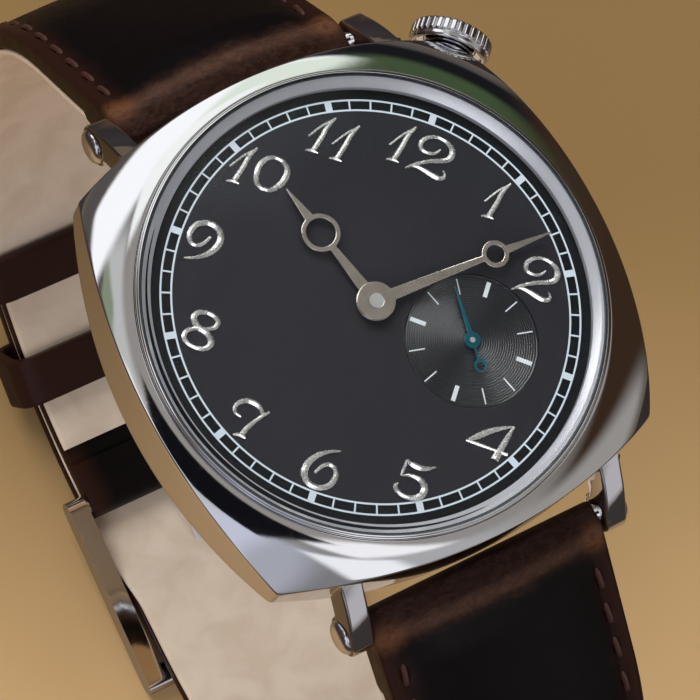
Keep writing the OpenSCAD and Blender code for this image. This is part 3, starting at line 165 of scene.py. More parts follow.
class Finish(Board):
    """A material: one Principled shader. Plain numbers sit on its sockets, and links vary over the piece."""

    def __init__(self, name, **numbers):
        self.material = bpy.data.materials.new(name)
        self.material.use_nodes = True
        super().__init__(self.material.node_tree)
        self.shader = self.tree.nodes.new("ShaderNodeBsdfPrincipled")
        output = self.tree.nodes.new("ShaderNodeOutputMaterial")
        self.surface = output.inputs["Surface"]
        self.tree.links.new(self.shader.outputs[0], self.surface)
        self.paint(**numbers)

    def paint(self, **given):
        """Sets sockets by name, with _ for a space: Base_Color, Roughness, Normal and so on."""
        for name, value in given.items():
            self.feed(self.shader.inputs[name.replace("_", " ")], value)
        return self

    def place(self):
        """The point's place in the watch's own frame, in millimetres."""
        return self.scaled(self.node("ShaderNodeTexCoord", out="Object"), 1 / MM)


print("shader classes ready")

# %% [markdown]
# The studio has a warm floor under the strap loop, two soft lamps and a world that is a dim room.
# Polished steel shows that room like a mirror, so the room is drawn by direction: pale windows high
# up, lilac-grey walls on one side, dark brown and green ones on the other, and a dark round near
# the camera. Each is a soft patch about a direction, so that nothing is noisy.

# %% Directions in the room
def direction(turn, rise):
    """Unit vector from its turn from +X towards +Y and its rise above the horizon, in degrees."""
    turn, rise = np.radians(turn), np.radians(rise)
    return np.array([np.cos(rise) * np.cos(turn), np.cos(rise) * np.sin(turn), np.sin(rise)])


# turn, rise, half width, half height, tilt, soft edge, colour: all angles in degrees
ROOM_PATCHES = [
    (318, 36, 26, 30, 0, 16, (0.32, 0.305, 0.285)),
    (5, 30, 24, 32, 0, 12, (0.040, 0.022, 0.013)),
    (24, 46, 10, 12, 0, 8, (0.040, 0.026, 0.016)),
    (40, 26, 14, 14, 0, 8, (0.010, 0.010, 0.012)),
    (285, 56, 14, 14, 0, 10, (0.42, 0.42, 0.43)),
    (289, 8, 14, 9, 0, 6, (0.46, 0.44, 0.47)),
    (38, 46, 10, 13, 0, 10, (0.055, 0.085, 0.040)),
    (240, 36, 18, 34, 0, 14, (0.21, 0.21, 0.22)),
    (222, 36, 14, 34, 0, 10, (0.40, 0.41, 0.47)),
    (205, 40, 12, 30, 0, 8, (0.58, 0.60, 0.71)),
    (165, 10, 40, 16, 0, 10, (0.06, 0.035, 0.035)),
    (150, 64, 24, 11, 0, 8, (0.52, 0.52, 0.51)),
    (127, 54, 5, 6, -22, 4, (0.24, 0.28, 0.19)),
    (162, 63, 9, 8, 0, 4, (0.95, 0.95, 0.97)),
    (92, 44, 30, 13, -22, 5, (1.05, 1.06, 1.08)),
    (57, 49, 7, 10, 0, 5, (0.78, 0.86, 0.74)),
    (70, 61, 9, 6, 0, 3, (0.98, 1.0, 0.98)),
    (264, 54, 8, 12, 0, 4, (0.92, 0.93, 0.96)),
    (292, 74, 8, 6, 0, 4, (0.95, 0.95, 0.97)),
    (200, 78, 12.5, 12.5, 0, 2, (0.005, 0.005, 0.007)),
]

# %% World
world = bpy.data.worlds.new("room")
bpy.context.scene.world = world
world.use_nodes = True
room = Board(world.node_tree)
looking = room.node("ShaderNodeTexCoord", out="Generated")
height = room.parts(looking)[2]
light = room.mix(room.step(height, -0.25, 0.15), (0.20, 0.14, 0.08), (0.09, 0.08, 0.075))
light = room.mix(room.step(height, 0.86, 0.95), light, (0.30, 0.28, 0.26))
for turn, rise, half_wide, half_high, tilt, soft, shade in ROOM_PATCHES:
    middle = direction(turn, rise)
    level, lean = direction(turn + 90, 0), np.radians(tilt)
    across = level * np.cos(lean) + np.cross(middle, level) * np.sin(lean)
    upward = np.cross(middle, across)
    ahead = room.vector_maths("DOT_PRODUCT", looking, tuple(middle), out="Value")
    mask = ahead > 0.2
    for axis, half in ((across, half_wide), (upward, half_high)):
        aside = abs(room.vector_maths("DOT_PRODUCT", looking, tuple(axis), out="Value")) / ahead
        edge = [np.tan(np.radians(half + push)) for push in (-soft / 2, soft / 2)]
        mask = mask * (1 - room.step(aside, *edge))
    light = room.mix(mask, light, shade)
room.node("ShaderNodeOutputWorld", None, {"Surface": room.node(
    "ShaderNodeBackground", None, {"Color": light, "Strength": 1.0})})
bpy.context.scene.view_settings.view_transform = "Standard"
print("room has", len(ROOM_PATCHES), "patches")

# %% Lamp and floor
FLOOR_Z = -66.65
LAMP_REACH = 0.9


def area_lamp(name, turn, rise, energy, width, depth=None):
    """A soft lamp in a direction from the watch. Polished steel doesn't mirror it."""
    data = bpy.data.lights.new(name, "AREA")
    data.size = width
    if depth:
        data.shape = "RECTANGLE"
        data.size_y = depth
    data.energy = energy
    lamp = bpy.data.objects.new(name, data)
    bpy.context.scene.collection.objects.link(lamp)
    way = direction(turn, rise)
    lamp.visible_glossy = False
    lamp.location = way * LAMP_REACH
    lamp.rotation_mode = "QUATERNION"
    lamp.rotation_quaternion = Vector(way).to_track_quat("Z", "Y")


area_lamp("soft_lamp", 95, 46, 8.0, 0.84, 0.55)
area_lamp("window", 222, 34, 2.6, 0.5)

paper = Finish("floor_paper", Roughness=0.85)
grain = paper.noise(paper.place(), 0.02, 3)
x, y, z = paper.parts(paper.place())
# Painted shade: the floor's colour runs from pale tan to dark brown along x * 0.40 + y * 0.91, a painted
# falloff of the light across the floor.
far = paper.step(x * 0.40 + y * 0.91 + grain * 20, -35, 45)
shade = paper.mix(far, (0.72, 0.465, 0.225), (0.275, 0.165, 0.062))
mirrored = Value(paper, paper.node("ShaderNodeLightPath").socket.node.outputs["Is Glossy Ray"])
distance = (x * x + y * y) ** 0.5
# Painted shade seen only in reflections: mirrored in steel, the floor is darker the further away it is
dimmed = mirrored * (paper.step(distance, 70, 200) * 0.48 + 0.49)
paper.paint(Base_Color=paper.mix(dimmed, shade, (0.008, 0.006, 0.010)))
corners = np.array([[-1, -1], [1, -1], [1, 1], [-1, 1]]) * 1500 * MM
floor_mesh = bpy.data.meshes.new("floor")
floor_mesh.from_pydata([(x, y, FLOOR_Z * MM) for x, y in corners.tolist()], [], [(0, 1, 2, 3)])
floor_mesh.materials.append(paper.material)
floor = bpy.data.objects.new("floor", floor_mesh)
bpy.context.scene.collection.objects.link(floor)
print("floor at", FLOOR_Z, "mm")

# %% [markdown]
# Every new piece is a grid of points worked out as whole arrays. A few helpers turn a grid into
# faces, spin a profile round an axis, soften a profile's corners, and put the result into a mesh
# that rides on its CAD body. A softened corner is what makes polished metal look real, because
# its narrow curve catches a bright line of the room.


# %% Shapes from arrays
def grid_faces(rows, cols, loop_rows=False, loop_cols=False):
    """Squares between neighbouring rows and columns of a grid of points."""
    r, c = np.meshgrid(np.arange(rows if loop_rows else rows - 1),
                       np.arange(cols if loop_cols else cols - 1), indexing="ij")
    r2, c2 = (r + 1) % rows, (c + 1) % cols
    return np.stack([r * cols + c, r * cols + c2, r2 * cols + c2, r2 * cols + c], -1).reshape(-1, 4)


def joined(shapes):
    """Several shapes as one: the points in a row, and each shape's face numbers moved on."""
    points, faces, used = [], [], 0
    for more, its_faces in shapes:
        points.append(more)
        faces += [f + used for f in its_faces]
        used += len(more)
    return np.concatenate(points), faces


def tube(rings):
    """Closed skin over a grid of rings, with one flat face at either end."""
    rows, cols = rings.shape[:2]
    ends = [np.arange(cols)[None], np.arange((rows - 1) * cols, rows * cols)[None]]
    return rings.reshape(-1, 3), [grid_faces(rows, cols, loop_cols=True)] + ends


def revolve(profile, steps, closed=True):
    """Profile points (radius, height) carried round Z: radius * cos and sin of the turn, and height."""
    turn = np.arange(steps) * 2 * np.pi / steps
    radius, z = np.asarray(profile, float).T
    points = np.stack([np.outer(np.cos(turn), radius), np.outer(np.sin(turn), radius),
                       np.tile(z, (steps, 1))], -1)
    return points.reshape(-1, 3), [grid_faces(steps, len(radius), True, closed)]


def quadratic(a, b, c, u):
    """Quadratic curve from a to c that leaves and arrives towards b."""
    return (1 - u) ** 2 * a + 2 * u * (1 - u) * b + u ** 2 * c


def soften(corners, radius, cuts=4, closed=True):
    """Replaces each corner by a quadratic curve that starts and ends "radius" away from it."""
    p = np.asarray(corners, float)
    radius = np.broadcast_to(np.asarray(radius, float), len(p))[:, None]

    def towards(q):
        way = q - p
        length = np.maximum(np.linalg.norm(way, axis=1, keepdims=True), 1e-9)
        return p + way / length * np.minimum(radius, 0.45 * length)

    start, end = towards(np.roll(p, 1, 0))[:, None], towards(np.roll(p, -1, 0))[:, None]
    u = np.linspace(0, 1, cuts + 1)[None, :, None]
    curve = quadratic(start, p[:, None], end, u)
    if closed:
        return curve.reshape(-1, p.shape[1])
    return np.concatenate([p[:1], curve[1:-1].reshape(-1, p.shape[1]), p[-1:]])


# %% Pieces from shapes
def tidy_mesh(mesh, sharp, merge=1e-7, flatten=False):
    """Merges doubled points, then merges flat faces or turns all faces outwards. It smooths all but
    the sharp edges."""
    work = bmesh.new()
    work.from_mesh(mesh)
    bmesh.ops.remove_doubles(work, verts=work.verts, dist=merge)
    if flatten:
        bmesh.ops.dissolve_limit(work, angle_limit=np.radians(0.6), verts=work.verts, edges=work.edges)
    else:
        bmesh.ops.recalc_face_normals(work, faces=work.faces)
    work.to_mesh(mesh)
    work.free()
    mesh.shade_smooth()
    mesh.set_sharp_from_angle(angle=np.radians(sharp))


def linked(name, mesh):
    """A new object for the mesh, in the scene."""
    piece = bpy.data.objects.new(name, mesh)
    bpy.context.scene.collection.objects.link(piece)
    return piece


def settle(piece, body, finish, replaces):
    """Gives the piece its material, its CAD body, and the CAD nodes that it stands for."""
    piece.data.materials.append(finish.material)
    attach(piece, body)
    if replaces:
        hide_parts(*replaces)
    print(piece.name, "has", len(piece.data.polygons), "faces")
    return piece


def add_piece(name, shape, body, finish, replaces=(), sharp=40, marks=None):
    """A mesh from a shape in millimetres. "marks" gives each point three numbers for its finish."""
    points, faces = shape
    mesh = bpy.data.meshes.new(name)
    mesh.from_pydata((points * MM).tolist(), [], [f for block in faces for f in block.tolist()])
    if marks is not None:
        route = mesh.attributes.new("route", "FLOAT_VECTOR", "POINT")
        route.data.foreach_set("vector", np.asarray(marks, np.float32).ravel())
    tidy_mesh(mesh, sharp)
    return settle(linked(name, mesh), body, finish, replaces)


def softened_copy(node, name, body, finish, width, sharp=35):
    """A CAD node's own shape with its flat faces merged and every sharp edge bevelled by "width"."""
    source = frame["nodes"][node].data
    mesh = bpy.data.meshes.new(name)
    mesh.from_pydata([tuple(v.co) for v in source.vertices], [],
                     [tuple(f.vertices) for f in source.polygons])
    tidy_mesh(mesh, sharp, 2e-7, True)
    piece = linked(name, mesh)
    bevel = piece.modifiers.new("soft_edges", "BEVEL")
    bevel.width = width * MM
    bevel.segments = 3
    bevel.limit_method = "ANGLE"
    bevel.angle_limit = np.radians(sharp)
    bevel.use_clamp_overlap = True
    return settle(piece, body, finish, (node,))


print("helpers ready")

# %% [markdown]
# Steel comes in two finishes. Polished steel is a mirror with the faintest wipe marks, which a very
# weak bump gives. Satin steel has been brushed in rings, so its bump is noise that is fine from
# ring to ring and stretched a long way round.


# %% Steel finishes
def ring_place(board, centre=(0, 0)):
    """Distance from an upright axis and height, as a place for patterns that run round in rings."""
    x, y, z = board.parts(board.place())
    x, y = x - centre[0], y - centre[1]
    return (x * x + y * y) ** 0.5, x, y, z


def polished(name, tint, rough=0.045):
    steel = Finish(name, Metallic=1.0, Base_Color=colour(tint))
    wipes = steel.noise(steel.place(), 1.3, 4, 0.6)
    steel.paint(Roughness=steel.step(wipes, 0.3, 0.8) * 0.03 + rough,
                Normal=steel.bump(wipes, 0.02, 0.05))
    return steel


def ring_brushed(name, tint, rough=0.3, strength=0.12):
    steel = Finish(name, Metallic=1.0, Base_Color=colour(tint))
    distance, x, y, z = ring_place(steel)
    lines = steel.noise(steel.joined(distance * 9, z * 9, x * 0.02), 1.0, 3)
    steel.paint(Roughness=steel.step(lines, 0.2, 0.8) * 0.12 + rough,
                Normal=steel.bump(lines, strength, 0.02))
    return steel


mirror_steel = polished("mirror_steel", (0.88, 0.88, 0.90))
satin_steel = ring_brushed("satin_steel", (0.68, 0.68, 0.69), 0.34)
print("steel ready")

# %% [markdown]
# The case middle is one block of steel. Seen from above its outline is a cushion: four wide arcs
# that meet in crisp corners. Its top is a ring-shaped dome, its wall is upright, and its underside
# is a wide cone. One closed profile of radius and height is worked out for each direction from the
# middle, with the wall's radius set by the outline there, so the edges stay crisp all the way round.

# %% Case middle
HALF_SIDE, CORNER = 19.25, 16.05
SIDE_BULGE = HALF_SIDE - CORNER
SIDE_ARC = (CORNER ** 2 + SIDE_BULGE ** 2) / (2 * SIDE_BULGE)
CASE_TOP, DOME_FLAT, DOME_R = 8.58, 17.3, 6.8
BORE_R, DIAL_BORE, BEZEL_SEAT, OPENING_R = 16.3, 17.35, 18.37, 17.9
DIAL_Z, DIAL_UNDER, BEZEL_Z, CRYSTAL_Z = 7.4, 7.0, 7.70, 8.4
FOOT_R, FOOT_Z, FOOT_SOFT = 17.2, 1.0, 0.3


def outline_radius(turn, blunt=0.07):
    """Distance to the cushion outline: the soft least of the distances to its four arcs.

    A ray from the middle meets the arc whose centre is c at u.c + sqrt((u.c)^2 - c.c + arc^2).
    The soft least is -blunt * log(sum of exp(-distance / blunt)), which rounds only the corners.
    """
    side = np.arange(4)[:, None] * np.pi / 2
    along = (HALF_SIDE - SIDE_ARC) * np.cos(turn[None] - side)
    reach = along + np.sqrt(along ** 2 - (HALF_SIDE - SIDE_ARC) ** 2 + SIDE_ARC ** 2)
    near = reach.min(0)
    return near - blunt * np.log(np.exp(-(reach - near) / blunt).sum(0))


def dome_height(radius):
    """Height of the case's top: flat to DOME_FLAT, then a quarter circle of radius DOME_R."""
    out = np.maximum(radius - DOME_FLAT, 0)
    return CASE_TOP - DOME_R + np.sqrt(DOME_R ** 2 - out ** 2)


def cone_height(radius):
    """Height of the case's underside, a cone that rises outwards."""
    return FOOT_Z + (radius - FOOT_R) * 0.3818


def case_shape():
    quarter = np.linspace(-1, 1, 121)[:-1]
    warped = np.sign(quarter) * (1 - (1 - np.abs(quarter)) ** 1.6)
    turn = (np.arange(4)[:, None] * np.pi / 2 + warped[None] * np.pi / 4).ravel()
    wall = outline_radius(turn)[:, None]
    soft = 0.11
    share = np.linspace(0, 1, 26)[None]
    seat = OPENING_R + 0.06
    top_r = seat + (wall - soft - seat) * share
    u = np.linspace(0, 1, 6)[None, 1:]
    lip_r = quadratic(wall - soft, wall, wall, u)
    edge_z, start_z = dome_height(wall), dome_height(wall - soft)
    lip_z = quadratic(start_z, edge_z, edge_z - soft, u)
    low = cone_height(wall)
    wall_z = edge_z - soft + (low + FOOT_SOFT - edge_z + soft) * np.linspace(0, 1, 8)[None, 1:]
    foot_r = quadratic(wall, wall, wall - FOOT_SOFT, u)
    foot_z = quadratic(low + FOOT_SOFT, low, cone_height(wall - FOOT_SOFT), u)
    base_r = wall - FOOT_SOFT + (FOOT_R - wall + FOOT_SOFT) * np.linspace(0, 1, 6)[None, 1:]
    rows = len(turn)
    inner = np.array([[FOOT_R, FOOT_Z], [BORE_R, FOOT_Z], [BORE_R, DIAL_UNDER], [DIAL_BORE, DIAL_UNDER],
                      [DIAL_BORE, BEZEL_Z], [BEZEL_SEAT, BEZEL_Z],
                      [BEZEL_SEAT, 8.40], [OPENING_R, 8.40], [OPENING_R, 8.5], [OPENING_R + 0.02, 8.535]])
    radius = np.concatenate([top_r, lip_r, np.repeat(wall, 7, 1), foot_r, base_r,
                             np.tile(inner[1:, 0], (rows, 1))], 1)
    z = np.concatenate([dome_height(top_r), lip_z, wall_z, foot_z, cone_height(base_r),
                        np.tile(inner[1:, 1], (rows, 1))], 1)
    points = np.stack([radius * np.cos(turn[:, None]), radius * np.sin(turn[:, None]), z], -1)
    return points.reshape(-1, 3), [grid_faces(rows, radius.shape[1], True, True)]


add_piece("case_middle_shell", case_shape(), "case", mirror_steel,
          ("case_middle",), sharp=30)

# %% [markdown]
# A lug is a thick steel plate: a straight arm that comes down from the wall and ends in a round
# barrel on the bar. The side outline is a list of points, and it is carried across the lug's width
# while it shrinks a little at both faces, which rounds all the edges at once.


# %% Lugs
def rounded_plate(outline, x0, x1, radius, cuts=5):
    """Carries an outline in Y and Z from x0 to x1. Near each face it moves inwards along its normals
    by radius * (1 - cos), while X runs by radius * (1 - sin), so the edges are quarter circles."""
    p = np.asarray(outline, float)
    way = np.roll(p, -1, 0) - np.roll(p, 1, 0)
    normal = np.stack([way[:, 1], -way[:, 0]], 1) / np.linalg.norm(way, axis=1, keepdims=True)
    if np.sum(p[:, 0] * np.roll(p[:, 1], -1) - np.roll(p[:, 0], -1) * p[:, 1]) < 0:
        normal = -normal
    turn = np.linspace(np.pi / 2, 0, cuts)
    inward = np.concatenate([radius * (1 - np.cos(turn)), radius * (1 - np.cos(turn[::-1]))])
    x = np.concatenate([x0 + radius * (1 - np.sin(turn)), x1 - radius * (1 - np.sin(turn[::-1]))])
    yz = p[None] - normal[None] * inward[:, None, None]
    return tube(np.concatenate([np.repeat(x, len(p))[:, None], yz.reshape(-1, 2)], 1)
                .reshape(len(x), len(p), 3))


BAR_Y, BAR_Z, LUG_R = 20.5, 1.9, 1.8
LUG_X0, LUG_X1 = 10.15, 11.95
LUG_TOP = BAR_Z + BAR_Y + LUG_R * np.sqrt(2)
LUG_LOW = LUG_TOP - 2.5 * np.sqrt(2)
lug_root = 17.55
sweep = np.radians(np.linspace(45, -180 - 22, 40))
round_r = 1.64
barrel = np.stack([BAR_Y + round_r * np.cos(sweep), BAR_Z + round_r * np.sin(sweep)], 1)
arm_y = np.linspace(lug_root, BAR_Y + round_r * np.sqrt(0.5), 9)[:-1]
arm_out = np.stack([arm_y, BAR_Z + BAR_Y + round_r * np.sqrt(2) - arm_y], 1)
arm_out += 0.16 * np.sin(np.linspace(0, np.pi, 9))[:-1, None]
arm_in = np.array([[18.62, LUG_LOW - 18.62 + 0.05], [18.2, LUG_LOW - 18.2],
                   [lug_root, LUG_LOW - lug_root]])
lug_side = np.concatenate([arm_out, barrel[barrel[:, 1] < 2.7 + (barrel[:, 0] > BAR_Y)], arm_in])
lug_shapes = []
for turn_x in (1, -1):
    for turn_y in (1, -1):
        points, faces = rounded_plate(lug_side, LUG_X0, LUG_X1, 0.24)
        lug_shapes.append((points * np.array([turn_x, turn_y, 1]), faces))
LUG_TINT, LUG_SIDE_PAINTED_SHADE = (0.88, 0.88, 0.90), (0.20, 0.18, 0.185)
lug_steel = polished("lug_steel", LUG_TINT, 0.05)
x, y, z = lug_steel.parts(lug_steel.place())
# Painted shade: where |x| passes LUG_X1 - 0.06, on the lugs' outer side faces, the steel's base colour is
# painted dark, standing in for dark surroundings mirrored there.
lug_steel.paint(Base_Color=lug_steel.mix(abs(x) > LUG_X1 - 0.06, LUG_TINT, LUG_SIDE_PAINTED_SHADE))
pin_steel = polished("pin_steel", (0.90, 0.90, 0.92), 0.05)
add_piece("lug_plates", joined(lug_shapes), "case", lug_steel, ("lugs",), sharp=35)


# %% Lug bars
def along_x(shape):
    """Turns a shape round Z so that its axis lies along X."""
    points, faces = shape
    return points[:, [2, 0, 1]], faces


head = 11.97
bar_profile = soften([[0, -head - 0.55], [0.7, -head - 0.52], [1.12, -head - 0.36], [1.36, -head - 0.1],
                      [1.38, -head + 0.1], [0.75, -head + 0.1], [0.75, head - 0.1], [1.38, head - 0.1],
                      [1.36, head + 0.1], [1.12, head + 0.36], [0.7, head + 0.52], [0, head + 0.55]],
                     0.16, 4, False)
bars = []
for y in (-BAR_Y, BAR_Y):
    points, faces = along_x(revolve(bar_profile, 48, False))
    bars.append((points + np.array([0, y, BAR_Z]), faces))
add_piece("lug_bar_pins", joined(bars), "case", pin_steel, ("lug_bars",), sharp=50)

# %% [markdown]
# The bezel is a stepped ring set into the case's top. Inside it sits a dark gasket and then the
# domed crystal, and under the crystal a grey inner ring leads down to the dial. Each is round, so
# each is a profile that is spun round the axis.

# %% Bezel, gasket and inner ring
bezel_profile = soften([[17.56, 7.72], [18.35, 7.72], [18.35, 8.38], [17.88, 8.38], [17.87, 8.80],
                        [17.81, 8.87], [17.73, 8.88], [17.71, 8.97], [17.60, 9.01], [17.56, 8.98]],
                       0.03, 3)
add_piece("bezel_steps", revolve(bezel_profile, 240), "case", mirror_steel,
          ("bezel_ring",), sharp=40)

clear_seal = Finish("clear_seal", Roughness=0.35)
seal_grain = clear_seal.noise(clear_seal.place(), 3.0, 3)
clear_seal.paint(Base_Color=clear_seal.mix(seal_grain, (0.06, 0.065, 0.075), (0.10, 0.105, 0.115)))
gasket_profile = soften([[17.28, 8.05], [17.54, 8.05], [17.54, 8.6], [17.28, 8.6]], 0.05, 3)
add_piece("crystal_seal", revolve(gasket_profile, 192), "case", clear_seal,
          ("crystal_gasket",))

ring_grey = Finish("ring_grey", Metallic=0.3, Base_Color=(0.48, 0.48, 0.52, 1), Roughness=0.3)
inner_profile = soften([[16.56, 7.405], [17.3, 7.405], [17.3, 8.39], [17.25, 8.39], [16.56, 8.0]], 0.02, 2)
add_piece("inner_ring", revolve(inner_profile, 240), "case", ring_grey,
          ("rehaut_ring",), sharp=30)


# %% [markdown]
# The crystal is a lens of mineral glass: a shallow dome outside, a shallower one inside, and a
# polished edge. Its shader bends the camera's rays as glass does. Rays that only carry light to the
# dial go straight through, because bent light would reach it as noise.

# %% Crystal
def dome_arc(radius, rise, z, count):
    """(radius, height) from the axis outwards along a sphere whose cap rises by "rise" above z."""
    ball = (radius ** 2 + rise ** 2) / (2 * rise)
    r = np.linspace(0, radius, count)
    return np.stack([r, z + rise - ball + np.sqrt(ball ** 2 - r ** 2)], 1)


top_arc = dome_arc(17.25, 1.2, CRYSTAL_Z + 0.8, 40)
under_arc = dome_arc(16.85, 0.9, CRYSTAL_Z, 40)
top_arc = top_arc[top_arc[:, 0] < 16.95]
edge_arc = np.array([[17.02, 9.228], [17.07, 9.19], [17.49, 8.72], [17.53, 8.66], [17.53, 8.62],
                     [17.26, 8.61], [17.25, 8.40], [16.85, 8.40]])
lens_profile = np.concatenate([top_arc, edge_arc, under_arc[::-1][1:]])
GLASS_TINT = (0.985, 0.99, 0.99, 1)
glass = Finish("clear_glass", Base_Color=GLASS_TINT, Roughness=0.0, IOR=1.52, Transmission_Weight=1.0)
rays = glass.node("ShaderNodeLightPath").socket.node.outputs
passing = glass.maths("MAXIMUM", Value(glass, rays["Is Shadow Ray"]), Value(glass, rays["Is Diffuse Ray"]))
through = glass.node("ShaderNodeBsdfTransparent", None, {"Color": (0.97, 0.98, 0.98, 1)})
bent = glass.node("ShaderNodeBsdfRefraction", None, {"Color": GLASS_TINT, "Roughness": 0.0, "IOR": 1.52})
coated = glass.node("ShaderNodeMixShader", None, {0: 0.2, 1: bent, 2: Value(glass, glass.shader.outputs[0])})
glass.feed(glass.surface, glass.node("ShaderNodeMixShader", None, {0: passing, 1: coated, 2: through}))
add_piece("crystal_lens", revolve(lens_profile, 240, False), "case", glass,
          ("crystal",), sharp=25)

# %% [markdown]
# The dial is dark grey lacquer over brushed metal, with a white printed minute track: two thin
# circles with a line every minute and a solid block every five. The print lies flat, so it is
# painted by a shader from the distance to the middle and the angle, which keeps its edges sharp.

# %% Dial
DIAL_TURN, TRACK_R, TRACK_HALF = -45, 15.355, 0.395
SUB_AT = 7.73 * np.array([np.cos(np.radians(DIAL_TURN)), np.sin(np.radians(DIAL_TURN))])


def clock_angle(board, x, y):
    """Angle clockwise from twelve in degrees, where twelve points DIAL_TURN + 90 from +X."""
    return (DIAL_TURN + 90 + 360) - board.maths("ARCTAN2", y, x) * (180 / np.pi)


dial_paint = Finish("dial_lacquer", Specular_IOR_Level=0.2)
distance, x, y, z = ring_place(dial_paint)
up = (x + y) * np.sqrt(0.5)
side = (x - y) * np.sqrt(0.5)
brush = dial_paint.noise(dial_paint.joined(side * 7, up * 0.12, z), 1.0, 3)
ground = dial_paint.mix(brush, (0.0155, 0.0155, 0.0195), (0.0245, 0.0245, 0.0300))
ground = dial_paint.mix(distance > TRACK_R - TRACK_HALF, ground, (0.005, 0.006, 0.008))
angle = clock_angle(dial_paint, x, y)
off_minute = abs((angle + 3) % 6 - 3) * (np.pi / 180) * distance
off_five = abs((angle + 15) % 30 - 15) * (np.pi / 180) * distance
in_band = abs(distance - TRACK_R)
circles = abs(in_band - TRACK_HALF) < 0.07
ticks = (off_minute < 0.065) * (in_band < TRACK_HALF)
blocks = (off_five < 0.26) * (in_band < TRACK_HALF + 0.07)
print_mask = dial_paint.maths("MAXIMUM", dial_paint.maths("MAXIMUM", circles, ticks), blocks)
on_top = z > DIAL_Z - 0.01
dial_paint.paint(
    Base_Color=dial_paint.mix(print_mask * on_top, ground, (0.60, 0.67, 0.73)),
    Roughness=dial_paint.step(brush, 0.2, 0.8) * 0.1 + 0.36,
    Normal=dial_paint.bump(brush, 0.08, 0.02))
dial = frame["nodes"]["dial_plate"]
dial.data.materials.clear()
dial.data.materials.append(dial_paint.material)
print("dial painted")


# %% Small seconds dial
def grooved_profile(radius, pitch, depth, z):
    """(radius, height) with height = z + depth * cos(2 pi r / pitch), six steps to a groove."""
    r = np.arange(0.42, radius - 0.1, pitch / 6)
    return np.stack([r, z + depth * np.cos(2 * np.pi * r / pitch)], 1)


GROOVE = 0.18
grooves = grooved_profile(5.1, GROOVE, 0.016, 7.18)
rim = soften([[5.02, 7.195], [5.04, 7.2], [5.05, 7.34], [5.09, 7.34], [5.09, 7.01], [0.36, 7.01],
              [0.36, 7.195]], 0.02, 2, False)
sub_points, sub_faces = revolve(np.concatenate([grooves, rim]), 160)
sub_paint = Finish("grooved_lacquer", Specular_IOR_Level=0.65)
distance, x, y, z = ring_place(sub_paint, SUB_AT)
angle = clock_angle(sub_paint, x, y)
off_mark = ((angle + 15) % 30 - 15) * (np.pi / 180)
aside = abs(sub_paint.maths("SINE", off_mark)) * distance
outward = sub_paint.maths("COSINE", off_mark) * distance
is_quarter = abs((angle + 45) % 90 - 45) < 15
long_mark = (aside < is_quarter * 0.115 + 0.05) * (outward > 3.6) * (outward < 4.82)
# The grooves' light and shade is painted as well, a painted highlight on each crest and painted shade in each
# hollow, since a clean render smooths such fine relief away
crest_painted_highlight = sub_paint.step(sub_paint.maths("COSINE", distance * (2 * np.pi / GROOVE)), -0.5, 0.9)
tone = sub_paint.mix(crest_painted_highlight, (0.004, 0.0045, 0.006), (0.020, 0.021, 0.027))
sub_paint.paint(Base_Color=sub_paint.mix(long_mark, tone, (0.68, 0.71, 0.75)),
                Roughness=long_mark * 0.2 - crest_painted_highlight * 0.14 + 0.34)
sub_shape = (sub_points + np.array([*SUB_AT, 0]), sub_faces)
add_piece("seconds_dial_grooves", sub_shape, "case", sub_paint, ("seconds_dial",), sharp=60)

# %% [markdown]
# The numerals are applied metal, cut with two slanting facets that meet in a ridge. Each stroke is
# a smooth curve through a few points with a width at each. The ridge runs along the middle, and
# the higher it stands the wider the stroke is, as it does on hand-cut figures.

